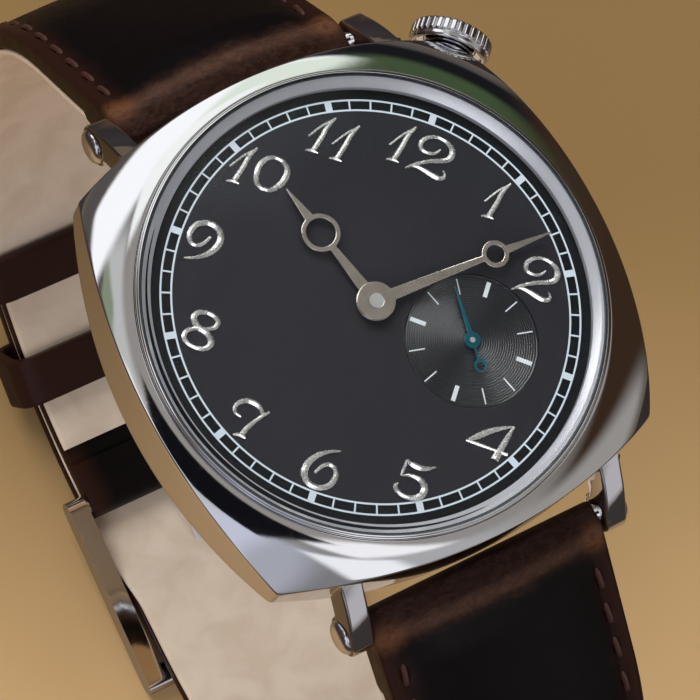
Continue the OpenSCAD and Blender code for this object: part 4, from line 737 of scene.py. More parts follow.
# %% Strokes of the numerals: [across, up, width] in millimetres about the numeral's middle
STROKES = {
    1: [[[0.75, 1.65, 0.16], [0.35, 0.7, 0.32], [0.2, -0.15, 0.36], [-0.1, -1.4, 0.36]],
        [[0.65, 1.5, 0.12], [0, 0.75, 0.16], [-0.75, -0.45, 0.14]],
        [[-0.65, -1.6, 0.1], [-0.2, -1.45, 0.24], [0.3, -1.5, 0.1]]],
    2: [[[0.55, 0.75, 0.14], [0.2, 0.3, 0.22], [-0.35, 0.15, 0.26], [-0.85, 0.3, 0.32], [-0.98, 0.8, 0.36],
         [-0.65, 1.3, 0.3], [0, 1.6, 0.26], [0.7, 1.55, 0.3], [1.3, 1.2, 0.4], [1.5, 0.7, 0.46],
         [1.35, 0.25, 0.42], [0.9, -0.05, 0.36], [0.1, -0.4, 0.3], [-0.65, -0.85, 0.26],
         [-1.2, -1.3, 0.22], [-1.55, -1.6, 0.1]],
        [[-1.15, -1.28, 0.16], [-0.75, -1.2, 0.26], [-0.2, -1.25, 0.32], [0.45, -1.38, 0.38],
         [1, -1.45, 0.36], [1.38, -1.3, 0.3], [1.42, -1, 0.18], [1.2, -0.75, 0.08]]],
    4: [[[1.55, 1.45, 0.1], [0.75, 1.05, 0.28], [-0.2, 0.4, 0.42], [-0.95, -0.3, 0.4], [-1.6, -0.8, 0.1]],
        [[-1.6, -0.8, 0.1], [-0.75, -0.75, 0.26], [0.7, -0.75, 0.18], [1.15, -0.75, 0.2],
         [1.65, -0.75, 0.28]],
        [[1.55, 1.42, 0.16], [1.3, 0.5, 0.38], [1.05, -0.6, 0.48], [0.85, -1.45, 0.6]]],
    5: [[[-0.95, 1.25, 0.1], [-0.55, 1.05, 0.36], [0.1, 0.98, 0.4], [0.65, 1.1, 0.32], [1.25, 1.45, 0.08]],
        [[-0.95, 1.2, 0.12], [-0.97, 0.5, 0.26], [-1.05, -0.05, 0.14]],
        [[-1.05, -0.05, 0.1], [-0.35, 0.2, 0.24], [0.35, 0.15, 0.38], [0.85, -0.25, 0.5],
         [0.85, -0.9, 0.5], [0.35, -1.32, 0.38], [-0.4, -1.42, 0.32], [-1, -1.2, 0.32],
         [-1.2, -0.9, 0.3], [-1.08, -0.65, 0.14]]],
    6: [[[0.95, 1.6, 0.12], [0.2, 1.3, 0.24], [-0.55, 0.75, 0.38], [-1.05, 0, 0.48], [-1.15, -0.7, 0.5],
         [-0.9, -1.25, 0.46], [-0.35, -1.55, 0.42], [0.3, -1.5, 0.4], [0.88, -1.1, 0.42],
         [1.12, -0.4, 0.42], [0.95, 0.15, 0.34], [0.55, 0.38, 0.3], [0.15, 0.25, 0.28],
         [-0.15, -0.1, 0.26], [-0.4, -0.6, 0.2]]],
    7: [[[-0.6, 0.05, 0.12], [-1.05, 0.2, 0.24], [-1.22, 0.6, 0.3], [-1, 1.05, 0.34], [-0.5, 1.35, 0.36],
         [0.1, 1.35, 0.38], [0.55, 1.15, 0.34], [0.9, 0.75, 0.2]],
        [[1.25, 1.1, 0.16], [0.85, 0.65, 0.26], [0.4, 0, 0.3], [0.05, -0.65, 0.36], [-0.15, -1.25, 0.42]],
        [[-0.75, -1.4, 0.12], [-0.3, -1.25, 0.28], [0.2, -1.35, 0.12]]],
    8: [[[-0.2, 0.05, 0.3], [0.35, 0.2, 0.26], [0.88, 0.5, 0.32], [1, 0.98, 0.38], [0.6, 1.32, 0.32],
         [-0.05, 1.4, 0.3]],
        [[0.1, 1.4, 0.3], [-0.5, 1.22, 0.36], [-0.78, 0.78, 0.44], [-0.5, 0.3, 0.44], [0.1, -0.02, 0.4]],
        [[-0.1, 0.1, 0.4], [0.62, -0.18, 0.42], [1, -0.65, 0.46], [0.75, -1.2, 0.38], [0.1, -1.4, 0.3]],
        [[0.25, -1.4, 0.3], [-0.5, -1.32, 0.3], [-1, -0.95, 0.38], [-0.92, -0.38, 0.34],
         [-0.35, -0.02, 0.24], [0.1, 0.12, 0.24]]],
    0: [[[0.3, 1.32, 0.26], [-0.2, 1.32, 0.28], [-0.7, 1.02, 0.34], [-1.03, 0.4, 0.4], [-1.05, -0.35, 0.4],
         [-0.85, -1, 0.34], [-0.4, -1.3, 0.28], [-0.05, -1.3, 0.28]],
        [[-0.4, -1.3, 0.26], [0.25, -1.22, 0.32], [0.8, -0.6, 0.44], [1.05, 0.15, 0.48],
         [0.98, 0.8, 0.42], [0.5, 1.25, 0.3], [-0.05, 1.33, 0.26]]],
}
STROKES[9] = [[[-x, -y, w] for x, y, w in stroke] for stroke in STROKES[6]]
# Digit and its middle, [across, up] from the dial's centre
DIGITS = [(1, -1.75, 12.6), (2, 0.7, 12.5), (1, 6.3, 11.05), (2, 10.95, 6.4), (4, 11.05, -6.6),
          (5, 6.7, -11.55), (6, 0.05, -13.05), (7, -6.05, -11.65), (8, -11.35, -6.5), (9, -13.25, -0.2),
          (1, -12.45, 6.55), (0, -10.1, 6.65), (1, -7.65, 11), (1, -5.8, 11.05)]


# %% Numerals
def smooth_curve(points, cuts):
    """Catmull-Rom curve through the points: each part is the cubic that its four neighbours give."""
    p = np.asarray(points, float)
    ends = np.concatenate([p[:1], p, p[-1:]])
    a, b, c, d = (ends[k:len(ends) - 3 + k][:, None] for k in range(4))
    u = np.linspace(0, 1, cuts, endpoint=False)[None, :, None]
    square, cube = 2 * a - 5 * b + 4 * c - d, 3 * b - a - 3 * c + d
    parts = 0.5 * (2 * b + (c - a) * u + square * u ** 2 + cube * u ** 3)
    return np.concatenate([parts.reshape(-1, p.shape[1]), p[-1:]])


def faceted_stroke(points, base=DIAL_Z + 0.005, side_height=0.10, slope=0.75, most=0.275):
    """A stroke's middle line with a ridge over it. Across it lie seven points: foot, side, shoulder,
    ridge, shoulder, side, foot. The ridge stands slope * half the width above the shoulder, or lower
    where that would pass "most"."""
    line = smooth_curve(points, 5)
    way = np.gradient(line[:, :2], axis=0)
    way /= np.linalg.norm(way, axis=1, keepdims=True)
    normal = np.stack([-way[:, 1], way[:, 0]], 1)
    half = line[:, 2:] / 2
    ridge = np.minimum(side_height + slope * half[:, 0], most)
    across = np.array([1, 1, 0.9, 0, -0.9, -1, -1])
    spots = line[:, None, :2] + normal[:, None] * half[:, None] * across[None, :, None]
    lift = np.zeros((len(line), 7))
    lift[:, [1, 5]] = side_height - 0.02
    lift[:, [2, 4]] = side_height
    lift[:, 3] = ridge
    return tube(np.concatenate([spots, (base + lift)[..., None]], 2))


def dial_to_watch(points):
    """Turns dial coordinates, across and up, into the watch's frame."""
    c, s = np.cos(np.radians(DIAL_TURN)), np.sin(np.radians(DIAL_TURN))
    across, up = points[:, 0], points[:, 1]
    return np.stack([c * across - s * up, s * across + c * up, points[:, 2]], 1)


figures = []
for digit, x0, y0 in DIGITS:
    for stroke in STROKES[digit]:
        points, faces = faceted_stroke(stroke)
        figures.append((dial_to_watch(points + np.array([x0, y0, 0])), faces))
cut_silver = Finish("cut_silver", Metallic=0.8, Base_Color=(0.86, 0.85, 0.82, 1))
sand = cut_silver.noise(cut_silver.place(), 4.0, 3)
cut_silver.paint(Roughness=cut_silver.step(sand, 0.3, 0.7) * 0.10 + 0.22,
                 Normal=cut_silver.bump(sand, 0.05, 0.02))
add_piece("cut_numerals", joined(figures), "case", cut_silver, ("numerals",), sharp=18)

# %% [markdown]
# The hands are stamped from thin sheet: a hub, a tapering arm, an open ring and a tapering tip. The
# CAD model has their true outline, so each is a copy of it with narrow bevels that catch the light.

# %% Hands
hand_metal = Finish("hand_satin", Metallic=1.0, Base_Color=(0.62, 0.57, 0.52, 1))
hair = hand_metal.noise(hand_metal.place(), 0.8, 2)
hand_metal.paint(Roughness=hand_metal.step(hair, 0.3, 0.7) * 0.06 + 0.2,
                 Normal=hand_metal.bump(hair, 0.01, 0.02))
for hand, body in (("hour_hand", "hour_set"), ("minute_hand", "minute_set")):
    softened_copy(hand, hand + "_satin", body, hand_metal, 0.035)
blued = Finish("blued_satin", Metallic=0.7, Base_Color=(0.02, 0.22, 0.28, 1), Roughness=0.28)
blue_tone = blued.noise(blued.place(), 4.0, 2)
blued.paint(Base_Color=blued.mix(blue_tone, (0.010, 0.10, 0.14), (0.02, 0.17, 0.22)))
softened_copy("seconds_hand", "seconds_hand_blued", "seconds_set", blued, 0.025)

# %% [markdown]
# The crown is gripped by finger and thumb, so its band has deep flutes. The whole crown is one
# lathe profile along the stem's axis, and in its band the radius dips at every flute. Its hollow
# skirt reaches back towards the case round the tube, and the end is a small polished cap.

# %% Crown
STEM_WAY = np.array([1, 1, 0]) / np.sqrt(2)
STEM_SIDE = np.array([-1, 1, 0]) / np.sqrt(2)
STEM_Z, CROWN_AT, FLUTES = 4.2, 23.05, 34


def on_stem(shape):
    """Moves a shape whose axis is Z onto the crown's axis."""
    points, faces = shape
    up_way = np.array([0, 0, 1])
    flat = points[:, 2:] * STEM_WAY + points[:, :1] * STEM_SIDE
    return flat + points[:, 1:2] * up_way + up_way * STEM_Z, faces


def crown_shape():
    """Lathe profile with flutes: radius - depth * (1 - |sin(flutes * turn / 2)|)^3 inside the band."""
    profile = soften([[0, 1.45], [0.46, 1.45], [0.46, 1.05], [1.35, 1.05], [1.35, 0], [2.65, 0],
                      [2.65, -0.45], [3.02, -0.45], [3.05, 0.02], [3.2, 0.1], [3.2, 1.0], [3.05, 1.1],
                      [2.3, 1.14], [1.75, 1.15], [1.55, 1.22], [1.5, 1.5], [1.25, 1.63], [0.8, 1.74],
                      [0, 1.8]], [0.08] * 6 + [0.2, 0.28] + [0.08] * 11, 5, False)
    profile[:, 1] += CROWN_AT
    steps = FLUTES * 14
    points, faces = revolve(profile, steps, False)
    turn = np.arange(steps) * 2 * np.pi / steps
    dip = (1 - np.abs(np.sin(FLUTES * turn / 2))) ** 3
    band = np.clip((profile[:, 0] - 3.02) / 0.1, 0, 1) * (profile[:, 1] > CROWN_AT + 0.03)
    share = 1 - (0.22 * dip[:, None] * band[None]) / np.maximum(profile[None, :, 0], 1e-6)
    points[:, :2] *= share.reshape(-1, 1)
    return points, faces


crown_steel = polished("crown_steel", (0.86, 0.86, 0.88), 0.07)
add_piece("crown_fluted", on_stem(crown_shape()), "crown_set", crown_steel,
          ("crown",), sharp=45)
tube_profile = soften([[0.51, 16.25], [0.95, 16.25], [0.95, 21.72], [2.1, 21.72], [2.1, 22.85], [0.95, 22.85],
                       [0.95, 24.03], [0.51, 24.03]], 0.14, 4)
add_piece("crown_collar", on_stem(revolve(tube_profile, 96)), "case", crown_steel,
          ("crown_tube",), sharp=45)

# %% [markdown]
# Pulling the crown tips a small lever inside the movement. The CAD model's lever has a square end,
# which reaches 0.12 mm into the main plate's skirt when the crown is fully out. That fault stays in
# the CAD. This lever stands in for it, and its round end clears the skirt.


# %% Setting lever
def upright(shape, along, side):
    """Stands a lathe shape on its axis beside the stem, ready for on_stem."""
    points, faces = shape
    return points[:, [1, 2, 0]] + np.array([side, 0, along]), faces


LEVER_AT, LEVER_ARM, LEVER_LOW, LEVER_TOP, POST_TOP = 11, 2.5, 0.57, 0.73, 1.09
half_turn = np.radians(np.linspace(0, 180, 13))
tip = np.stack([LEVER_AT + 0.3 * np.cos(half_turn), 0.3 * np.sin(half_turn)], 1)
hub = np.stack([LEVER_AT - 0.6 * np.cos(half_turn), -LEVER_ARM - 0.6 * np.sin(half_turn)], 1)
points, faces = rounded_plate(np.concatenate([tip, hub]), LEVER_LOW, LEVER_TOP, 0.03, 3)
lever_parts = [(points[:, [2, 0, 1]], faces)]
for low, high, radius, beside in ((0.32, LEVER_TOP - 0.02, 0.16, 0),
                                  (LEVER_LOW + 0.02, POST_TOP, 0.2, -LEVER_ARM)):
    rod = soften([[0, low], [radius, low], [radius, high], [0, high]], 0.03, 2, False)
    lever_parts.append(upright(revolve(rod, 24, False), LEVER_AT, beside))
add_piece("setting_lever_round", on_stem(joined(lever_parts)), "lever", satin_steel,
          ("setting_lever",), sharp=35)

# %% [markdown]
# The case back is a flat steel cover with a soft rim, brushed in circles. Nobody sees it in the
# photograph, but the strap loop shows it from below.

# %% Case back
back_profile = soften([[0, 0], [16.4, 0], [16.95, 0.4], [17.0, 0.96], [15.88, 0.98], [15.88, 1.97],
                       [15.18, 1.97], [15.18, 0.98], [0, 0.96]], 0.12, 4, False)
add_piece("case_back_brushed", revolve(back_profile, 192, False), "case", satin_steel,
          ("case_back",), sharp=35)

# %% [markdown]
# Each strap half follows a route of arcs and straight lines that the CAD model uses too, and one
# cross-section is carried along it. Across the strap the leather lies flat beside the stitches and
# swells over the padding inside them. Near the case it ends in a blunt fold round the bar.

# %% Routes of the strap
TOP_BEND, LOW_BEND, LOOP_Z = 22, 32, 62.5
ENTRY_SLOPE, ENTRY_BEND = np.radians(19), 5
LOW_Z = LOW_BEND - LOOP_Z
STRAP_T, LAYER, LINING_T = 2.4, 2.7, 0.7


def smooth(u):
    v = np.clip(u, 0, 1)
    return v * v * (3 - 2 * v)


def half_knots(reach, slope):
    """Lengths from the bar at which the strap's slope starts or stops changing, and the slope there."""
    out = BAR_Y + ENTRY_BEND * (np.sin(slope) - np.sin(ENTRY_SLOPE))
    z = BAR_Z - ENTRY_BEND * (np.cos(ENTRY_SLOPE) - np.cos(slope))
    run = (reach - out - TOP_BEND * (1 - np.sin(slope))) / np.cos(slope)
    fall = z - run * np.sin(slope) - TOP_BEND * np.cos(slope) - LOW_Z
    parts = [0, ENTRY_BEND * (slope - ENTRY_SLOPE), run, TOP_BEND * (np.pi / 2 - slope), fall,
             LOW_BEND * np.pi / 2]
    return np.cumsum(parts), np.array([ENTRY_SLOPE, slope, slope, np.pi / 2, np.pi / 2, np.pi])


def half_route(knots, s):
    """Distance out, height, and the angle of the outward normal, at each length s from the bar.

    The slope changes evenly between knots, and the place is the sum of many short steps along it.
    """
    step = 0.01
    fine = np.arange(-400, 16000) * step
    slope = np.interp(fine, *knots)
    path = np.cumsum(np.stack([np.cos(slope), -np.sin(slope)]) * step, 1)
    path += np.array([[BAR_Y], [BAR_Z]]) - path[:, 400:401]
    return np.interp(s, fine, path[0]), np.interp(s, fine, path[1]), np.pi / 2 - np.interp(s, *knots)


REACH_UPPER, REACH_LOWER = 37.5, 40.5
UPPER_KNOTS = half_knots(REACH_UPPER, np.radians(46))
LOWER_KNOTS = half_knots(REACH_LOWER, np.radians(32))
UPPER_END = UPPER_KNOTS[0][-1] + 0.5
LOWER_HALF = LOWER_KNOTS[0][-1]
FLAT_LEN = REACH_UPPER + REACH_LOWER - 2 * LOW_BEND
TAIL_ANGLE = 56
LOWER_FULL = LOWER_HALF + FLAT_LEN + LOW_BEND * np.radians(TAIL_ANGLE)


def upper_route(s):
    return half_route(UPPER_KNOTS, s)


def lower_route(s):
    """As the other half on the -Y side, then one layer further out round the half with the buckle."""
    out, z, angle = half_route(LOWER_KNOTS, s)
    shift = LAYER * smooth((6.2 - out) / 6) * (s > LOWER_HALF - 8)
    y, z, angle = -(out + shift * np.cos(angle)), z + shift * np.sin(angle), np.pi - angle
    turn = -np.pi / 2 + (s - LOWER_HALF - FLAT_LEN) / LOW_BEND
    last = s > LOWER_HALF + FLAT_LEN
    radius = LOW_BEND + LAYER
    return (np.where(last, REACH_UPPER - LOW_BEND + radius * np.cos(turn), y),
            np.where(last, LOW_Z + radius * np.sin(turn), z), np.where(last, turn, angle))


# %% Cross-section of the strap
EDGE_R, STITCH_IN, STITCH_PITCH = 0.5, 1.4, 3.0
STRAP_START, PAD_H, PAD_LEN, PAD_UNDER = -1.05, 1.6, 32, 0.6
STRAP_W, NARROWING, TIP_LEN = 20, 2, 5.8


def pad_rise(s):
    return PAD_H * (1 - smooth(s / PAD_LEN))


def end_rise(s):
    """Share of the strap's height: a slanting front up to a soft corner half a millimetre past the bar."""
    slant = 0.4 + 0.6 * (s - STRAP_START) / 1.5
    return -0.04 * np.log(np.exp(-slant / 0.04) + np.exp(-1 / 0.04))


def pad_share(s):
    return 0.5 + 0.5 * smooth((s - 0.4) / 4)


def underside(s):
    return -STRAP_T / 2 - PAD_UNDER * (1 - smooth(s / PAD_LEN)) * smooth((s - STRAP_START) / 1.2)


def strap_width(s, full):
    return STRAP_W - NARROWING * np.clip(s / full, 0, 1)


def tip_share(s):
    """Share of the width along the rounded tip of the half with the holes."""
    return np.sqrt(1 - (np.clip((s - LOWER_FULL + TIP_LEN) / (TIP_LEN + 0.06), 0, 1)) ** 2)


def strap_section(s, width, low, high, pad, sewn):
    """Points (across, height) of the section at each s, and their distance from the strap's edge.

    Over the top, height = high + pad * (1 - (1 - u)^2.4), where u runs from 0 at the stitches to 1 at
    the middle, less a sewn groove that dips deeper at each hole. The edges are quarter ellipses.
    """
    given = (s, width, low, high, pad, sewn)
    s, width, low, high, pad, sewn = (np.asarray(v, float)[:, None] for v in given)
    half = width / 2
    share = np.linspace(-1, 1, 61)[None]
    share = np.sign(share) * np.abs(share) ** 0.8
    top_x = share * (half - EDGE_R)
    edge = half - np.abs(top_x)
    u = np.clip((edge - STITCH_IN - 0.2) / (half - STITCH_IN - 0.2), 0, 1)
    hole = 0.5 - 0.5 * np.cos(2 * np.pi * (s - 3.0) / STITCH_PITCH + np.pi)
    groove = np.exp(-((edge - STITCH_IN) / 0.33) ** 2) * (0.16 + 0.22 * (1 - hole) ** 4) * sewn
    top_z = high + pad * (1 - (1 - u) ** 2.4) - groove
    turn = np.linspace(0, np.pi / 2, 6)[None, 1:]
    soft = np.minimum(EDGE_R, (high - low) * 0.42)
    right_x = half - EDGE_R + EDGE_R * np.sin(turn)
    right_z = high - soft + soft * np.cos(turn)
    under_x = half - 0.3 + 0.3 * np.cos(turn)
    under_z = low + soft * 0.6 * (1 - np.sin(turn))
    flat_x = -np.linspace(-1, 1, 9)[None, 1:-1] * (half - 0.3)
    flat_z = low + 0 * flat_x
    side_x, side_z = np.concatenate([right_x, under_x], 1), np.concatenate([right_z, under_z], 1)
    across = np.concatenate([top_x, side_x, flat_x, -side_x[:, ::-1]], 1)
    height = np.concatenate([top_z, side_z, flat_z, side_z[:, ::-1]], 1)
    return across, height, half - np.abs(across)


def blunt_end(u, power=2.6):
    """1 away from an end and 0 at it, along a squarish quarter ellipse."""
    v = np.clip(u, 0, 1)
    return (1 - (1 - v) ** power) ** (1 / power)


def carried(route, s, across, height):
    """Puts each section's points into the plane across the route at its length s."""
    out, z, angle = route(s)
    return np.stack([across, out[:, None] + np.cos(angle)[:, None] * height,
                     z[:, None] + np.sin(angle)[:, None] * height], -1)


def strap_piece(route, s, width, low, high, pad, sewn, shut):
    """One strap skin and its marks: length along the strap, distance across, distance from the edge.
    "shut" draws the section's height together at both ends, so that the skin closes."""
    across, height, edge = strap_section(s, width, low, high, pad, sewn)
    middle = ((low + high) / 2)[:, None]
    height = middle + (height - middle) * shut[:, None]
    rings = carried(route, s, across, height)
    marks = np.stack([np.repeat(s[:, None], across.shape[1], 1), across, edge], -1)
    return tube(rings), marks.reshape(-1, 3)


# %% Leather
def leather(name, dark, border, fold, worn):
    """Oiled leather: near black in the middle, dark red along its edges, brown with pale fibres on the fold
    at the case with a painted highlight along the fold's crest, and rubbed through to a lighter brown at the
    fold's corners."""
    hide = Finish(name, Specular_IOR_Level=0.18)
    route = hide.node("ShaderNodeAttribute", {"attribute_name": "route"}, out="Vector")
    along, across, edge = hide.parts(route)
    place = hide.place()
    cloud = hide.noise(place, 0.35, 4, 0.4)
    fibre = hide.noise(hide.joined(along * 3.4, across * 1.2, edge), 1.0, 5, 1.0)
    near_edge = 1 - hide.step(edge + cloud * 1.6, 1.4, 3.6)
    near_end = 1 - hide.step(along + cloud * 1.6, 1.7, 3.3)
    # Painted highlight: a lighter band along the fold's crest, about 1.1 mm from the strap's end, mixed into
    # the fold's brown.
    crest_painted_highlight = 1 - hide.step(abs(along - 1.1), 0.1, 0.75)
    tone = hide.mix(near_edge, dark, border)
    brown = hide.mix(hide.step(fibre, 0.3, 0.8) * 0.5 + crest_painted_highlight * 0.5, border, fold)
    tone = hide.mix(near_end, tone, brown)
    corner = ((abs(across) - 8.9) ** 2 * 0.7 + (along - 1.2) ** 2) ** 0.5
    rubbed = (1 - hide.step(corner + fibre * 1.6, 1.1, 2.4)) * hide.step(fibre, 0.2, 0.6)
    tone = hide.mix(rubbed * 0.65, tone, worn)
    pores = hide.cells(place, 4.5)
    wrinkle = hide.noise(place, 0.9, 6, 0.8)
    relief = pores * 0.2 + wrinkle * 0.8 + fibre * near_end * 0.3
    hide.paint(Base_Color=tone, Roughness=near_end * 0.1 + hide.step(wrinkle, 0.3, 0.7) * 0.08 + 0.36,
               Normal=hide.bump(relief, 0.22, 0.12))
    return hide


strap_hide = leather("strap_hide", (0.0032, 0.0020, 0.0024), (0.022, 0.0075, 0.0052),
                     (0.085, 0.042, 0.028), (0.15, 0.058, 0.024))
front_s = np.linspace(STRAP_START, 1.2, 30)
upper_s = np.concatenate([front_s, np.arange(1.4, UPPER_END + 1.2, 0.3), [UPPER_END + 1.25]])
lower_s = np.concatenate([front_s, np.arange(1.4, LOWER_FULL - TIP_LEN, 0.3),
                          LOWER_FULL - TIP_LEN + TIP_LEN * np.sin(np.linspace(0, np.pi / 2, 18))])


def strap_leather(node, route, s, width, lined, sewn, end):
    """The leather of one half. "lined" and "sewn" say where it may have its lining and its stitches,
    and "end" draws its far end together."""
    front = end_rise(s)
    shape, marks = strap_piece(
        route, s, width, underside(s) + 0.71 * (smooth((s - 5.8) / 0.4) * lined), STRAP_T / 2 * front,
        pad_rise(s) * pad_share(s) * front, smooth((s - 2.6) / 0.8) * sewn,
        blunt_end((s - STRAP_START) / 0.5) * end)
    add_piece(node + "_leather", shape, "case", strap_hide, (node,), 60, marks)


strap_leather("strap_upper", upper_route, upper_s, strap_width(upper_s, UPPER_END),
              upper_s < UPPER_END - 4.2, upper_s < UPPER_END - 7,
              blunt_end((UPPER_END + 1.25 - upper_s) / 1.2))
strap_leather("strap_lower", lower_route, lower_s, strap_width(lower_s, LOWER_HALF) * tip_share(lower_s),
              True, lower_s < LOWER_FULL - 7, blunt_end((LOWER_FULL - lower_s) / 0.5))


# %% Linings
def add_lining(node, route, s, width):
    """A flat band LINING_T thick under the leather, with rounded edges and blunt ends."""
    shut = blunt_end((s - LINING_START) / 0.5 + 0.05) * blunt_end((s[-1] - s) / 0.5 + 0.05)
    half = (width / 2 - 0.04)[:, None]
    turn = np.linspace(-np.pi / 2, np.pi / 2, 9)[None]
    thick = LINING_T * 0.98
    right = half - thick / 2 + thick / 2 * np.cos(turn), thick / 2 + thick / 2 * np.sin(turn) + 0 * half
    fill = np.linspace(1, -1, 9)[None, 1:-1] * (half - thick / 2)
    across = np.concatenate([right[0], fill, -right[0][:, ::-1], -fill], 1)
    height = np.concatenate([right[1], thick + 0 * fill, right[1][:, ::-1], 0 * fill], 1)
    middle = thick / 2
    height = middle + (height - middle) * shut[:, None] + underside(s)[:, None]
    marks = np.stack([np.repeat(s[:, None], across.shape[1], 1), across, half - np.abs(across)], -1)
    add_piece(node + "_lining_hide", tube(carried(route, s, across, height)), "case",
              lining_hide, (node + "_lining",), 60, marks.reshape(-1, 3))


LINING_START = 6.1
lining_hide = Finish("lining_hide", Specular_IOR_Level=0.3)
place = lining_hide.place()
blotch = lining_hide.noise(place, 0.25, 4, 0.5)
pore = lining_hide.cells(place, 5.0)
nap = lining_hide.noise(place, 3.0, 5)
lining_hide.paint(
    Base_Color=lining_hide.mix(lining_hide.step(blotch, 0.35, 0.7), (0.70, 0.58, 0.47), (0.62, 0.50, 0.39)),
    Roughness=nap * 0.2 + 0.55, Normal=lining_hide.bump(pore * 0.4 + nap, 0.25, 0.08))
s = np.arange(LINING_START, UPPER_END - 5.6, 0.8)
add_lining("strap_upper", upper_route, s, strap_width(s, UPPER_END))
s = lower_s[lower_s > LINING_START][::2]
add_lining("strap_lower", lower_route, s, strap_width(s, LOWER_HALF) * tip_share(s))

# %% [markdown]
# The stitches are waxed thread. Each one shows as a short fat loop that rises out of one hole and
# dives into the next, so it is a small tube along an arch, and the same tube is repeated along both
# rows of each strap half.

# %% Stitches
STITCH_HALF, THREAD_R = 1.1, 0.23


def stitch_row(route, first, last, full, side):
    """Tubes of six sides. Along a stitch the height falls with t^4 and the radius a little with t^6."""
    starts = np.arange(first, last, STITCH_PITCH)
    t = np.linspace(-1, 1, 7)
    s = (starts[:, None] + STITCH_PITCH / 2 + t[None] * STITCH_HALF).ravel()
    slant = np.tile(t * 0.10, len(starts)) * side
    turn = np.arange(6) * np.pi / 3
    thick = np.tile(THREAD_R * (1 - t ** 6 * 0.35), len(starts))
    rise = np.tile(0.06 - 0.40 * t ** 4, len(starts)) + STRAP_T / 2 - 0.13
    across = side * (strap_width(s, full) / 2 - STITCH_IN) + slant
    rings = carried(route, s, across[:, None] + thick[:, None] * np.cos(turn)[None],
                    rise[:, None] + thick[:, None] * np.sin(turn)[None])
    return joined([tube(ring) for ring in rings.reshape(len(starts), 7, 6, 3)])


thread = Finish("waxed_thread", Roughness=0.5)
place = thread.place()
twist = thread.noise(place, 5.0, 3)
thread.paint(Base_Color=thread.mix(twist, (0.030, 0.011, 0.009), (0.085, 0.036, 0.028)),
             Normal=thread.bump(twist, 0.4, 0.08))
for half, route, full, last in (("upper", upper_route, UPPER_END, UPPER_END - 8),
                                ("lower", lower_route, LOWER_HALF, LOWER_FULL - 8)):
    rows = [stitch_row(route, STITCH_PITCH, last, full, side) for side in (-1, 1)]
    add_piece("stitches_" + half, joined(rows), "case", thread)

# %% [markdown]
# Two leather loops hold the strap's tail down. Each is a flat band bent into a rounded box round both
# layers. The buckle's frame, bar and tongue are steel rod and plate: their CAD shapes are true, and
# softened copies of them take the polish.

# %% Keepers
def keeper_shape(middle_angle, length=5.0, thick=1.2):
    """A box-shaped loop with round corners, swept about the strap's low bend.

    The loop's line is a rounded rectangle in across and radius. The band's section is a small
    rounded rectangle about that line, and the sweep angle is the place along the band's length.
    """
    inner, outer, half = LOW_BEND - 1.5, LOW_BEND + LAYER + 1.5, 9.85
    line = soften([[-half, inner], [half, inner], [half, outer], [-half, outer]], 1.3, 7)
    way = np.roll(line, -1, 0) - np.roll(line, 1, 0)
    normal = np.stack([way[:, 1], -way[:, 0]], 1) / np.linalg.norm(way, axis=1, keepdims=True)
    band = soften([[-length / 2, 0.0], [length / 2, 0.0], [length / 2, thick], [-length / 2, thick]], 0.4, 4)
    spots = line[:, None] + normal[:, None] * band[None, :, 1:]
    turn = np.radians(middle_angle) + band[None, :, 0] / (LOW_BEND + 1)
    radius = spots[..., 1]
    points = np.stack([spots[..., 0], 5.5 + radius * np.cos(turn), LOW_Z + radius * np.sin(turn)], -1)
    marks = np.stack([np.full(points.shape[:2], 30.0), spots[..., 0],
                      np.broadcast_to(length / 2 - np.abs(band[None, :, 0]), points.shape[:2])], -1)
    return (points.reshape(-1, 3), [grid_faces(*points.shape[:2], True, True)]), marks.reshape(-1, 3)


for keeper, body, angle in (("fixed_keeper", "case", -67), ("floating_keeper", "loose_keeper", -47)):
    shape, marks = keeper_shape(angle)
    add_piece(keeper + "_band", shape, body, strap_hide, (keeper,), 60, marks)

# %% Buckle
for node, body, width in (("buckle_frame", "buckle", 0.22), ("buckle_bar", "case", 0.1),
                          ("buckle_tongue", "tongue", 0.14)):
    softened_copy(node, node + "_soft", body, lug_steel, width)

# %% [markdown]
# The movement is hidden behind the case back and the dial. Its CAD shapes are kept as they are, and
# each gets the finish that its real material has: brushed nickel, gilt brass, copper wire, green
# lacquer, black rubber. One loop gives each CAD node that still shows the finish of its slot.


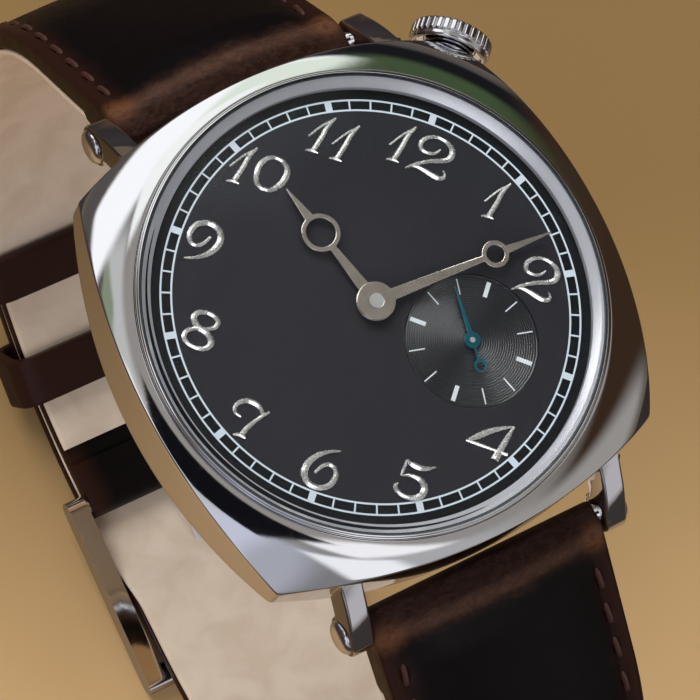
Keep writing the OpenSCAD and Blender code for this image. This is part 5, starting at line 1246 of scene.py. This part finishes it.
# %% Finishes of the movement
def grained(name, one, two, rough, metallic=0.0, scale=2.0, strength=0.1):
    """Two tones mixed by noise, with a fine bump from a finer noise."""
    made = Finish(name, Metallic=metallic)
    place = made.place()
    fine = made.noise(place, scale * 4, 3)
    made.paint(Base_Color=made.mix(made.noise(place, scale, 3), one, two),
               Roughness=made.step(fine, 0.2, 0.8) * 0.1 + rough, Normal=made.bump(fine, strength, 0.03))
    return made


def wound(name, one, two, pitch):
    """Fine wire wound round X: a bump and a shade that repeat along X."""
    made = Finish(name, Metallic=0.8, Roughness=0.32)
    x, y, z = made.parts(made.place())
    wave = abs((x / pitch) % 1 - 0.5) * 2
    made.paint(Base_Color=made.mix(wave, one, two), Normal=made.bump(wave, 0.5, 0.05))
    return made


slot_finish = {
    "polished_steel": mirror_steel,
    "satin_steel": satin_steel,
    "black_rubber": grained("black_rubber", (0.012, 0.012, 0.012), (0.03, 0.03, 0.03), 0.6),
    "nickel_plate": grained("nickel_plate", (0.60, 0.58, 0.52), (0.70, 0.68, 0.62), 0.28, 1.0, 1.5),
    "gilt_brass": grained("gilt_brass", (0.72, 0.54, 0.24), (0.82, 0.66, 0.36), 0.25, 1.0, 2.0),
    "cell_steel": ring_brushed("cell_steel", (0.80, 0.80, 0.80), 0.22, 0.08),
    "green_board": grained("green_board", (0.02, 0.16, 0.07), (0.04, 0.24, 0.11), 0.3, 0.0, 1.2),
    "black_resin": grained("black_resin", (0.012, 0.012, 0.013), (0.03, 0.03, 0.03), 0.5),
    "soft_iron": grained("soft_iron", (0.36, 0.36, 0.37), (0.46, 0.46, 0.47), 0.4, 1.0),
    "magnet": grained("magnet", (0.16, 0.16, 0.17), (0.24, 0.24, 0.25), 0.45, 0.8),
    "copper_wire": wound("copper_wire", (0.60, 0.26, 0.10), (0.80, 0.44, 0.24), 0.12),
    "white_plastic": grained("white_plastic", (0.76, 0.76, 0.74), (0.84, 0.84, 0.82), 0.45),
}
slots = {part["node"]: part["material_slot"] for part in frame["record"]["subparts"]}
steel_arbors = ("centre_wheel", "cannon_pinion", "seconds_wheel")
dressed = 0
for node, piece in frame["nodes"].items():
    if node != "dial_plate" and not piece.hide_render:
        piece.data.materials.clear()
        slot = "satin_steel" if node in steel_arbors else slots[node]
        piece.data.materials.append(slot_finish[slot].material)
        dressed += 1
print(dressed, "CAD nodes keep their shape and get a finish")
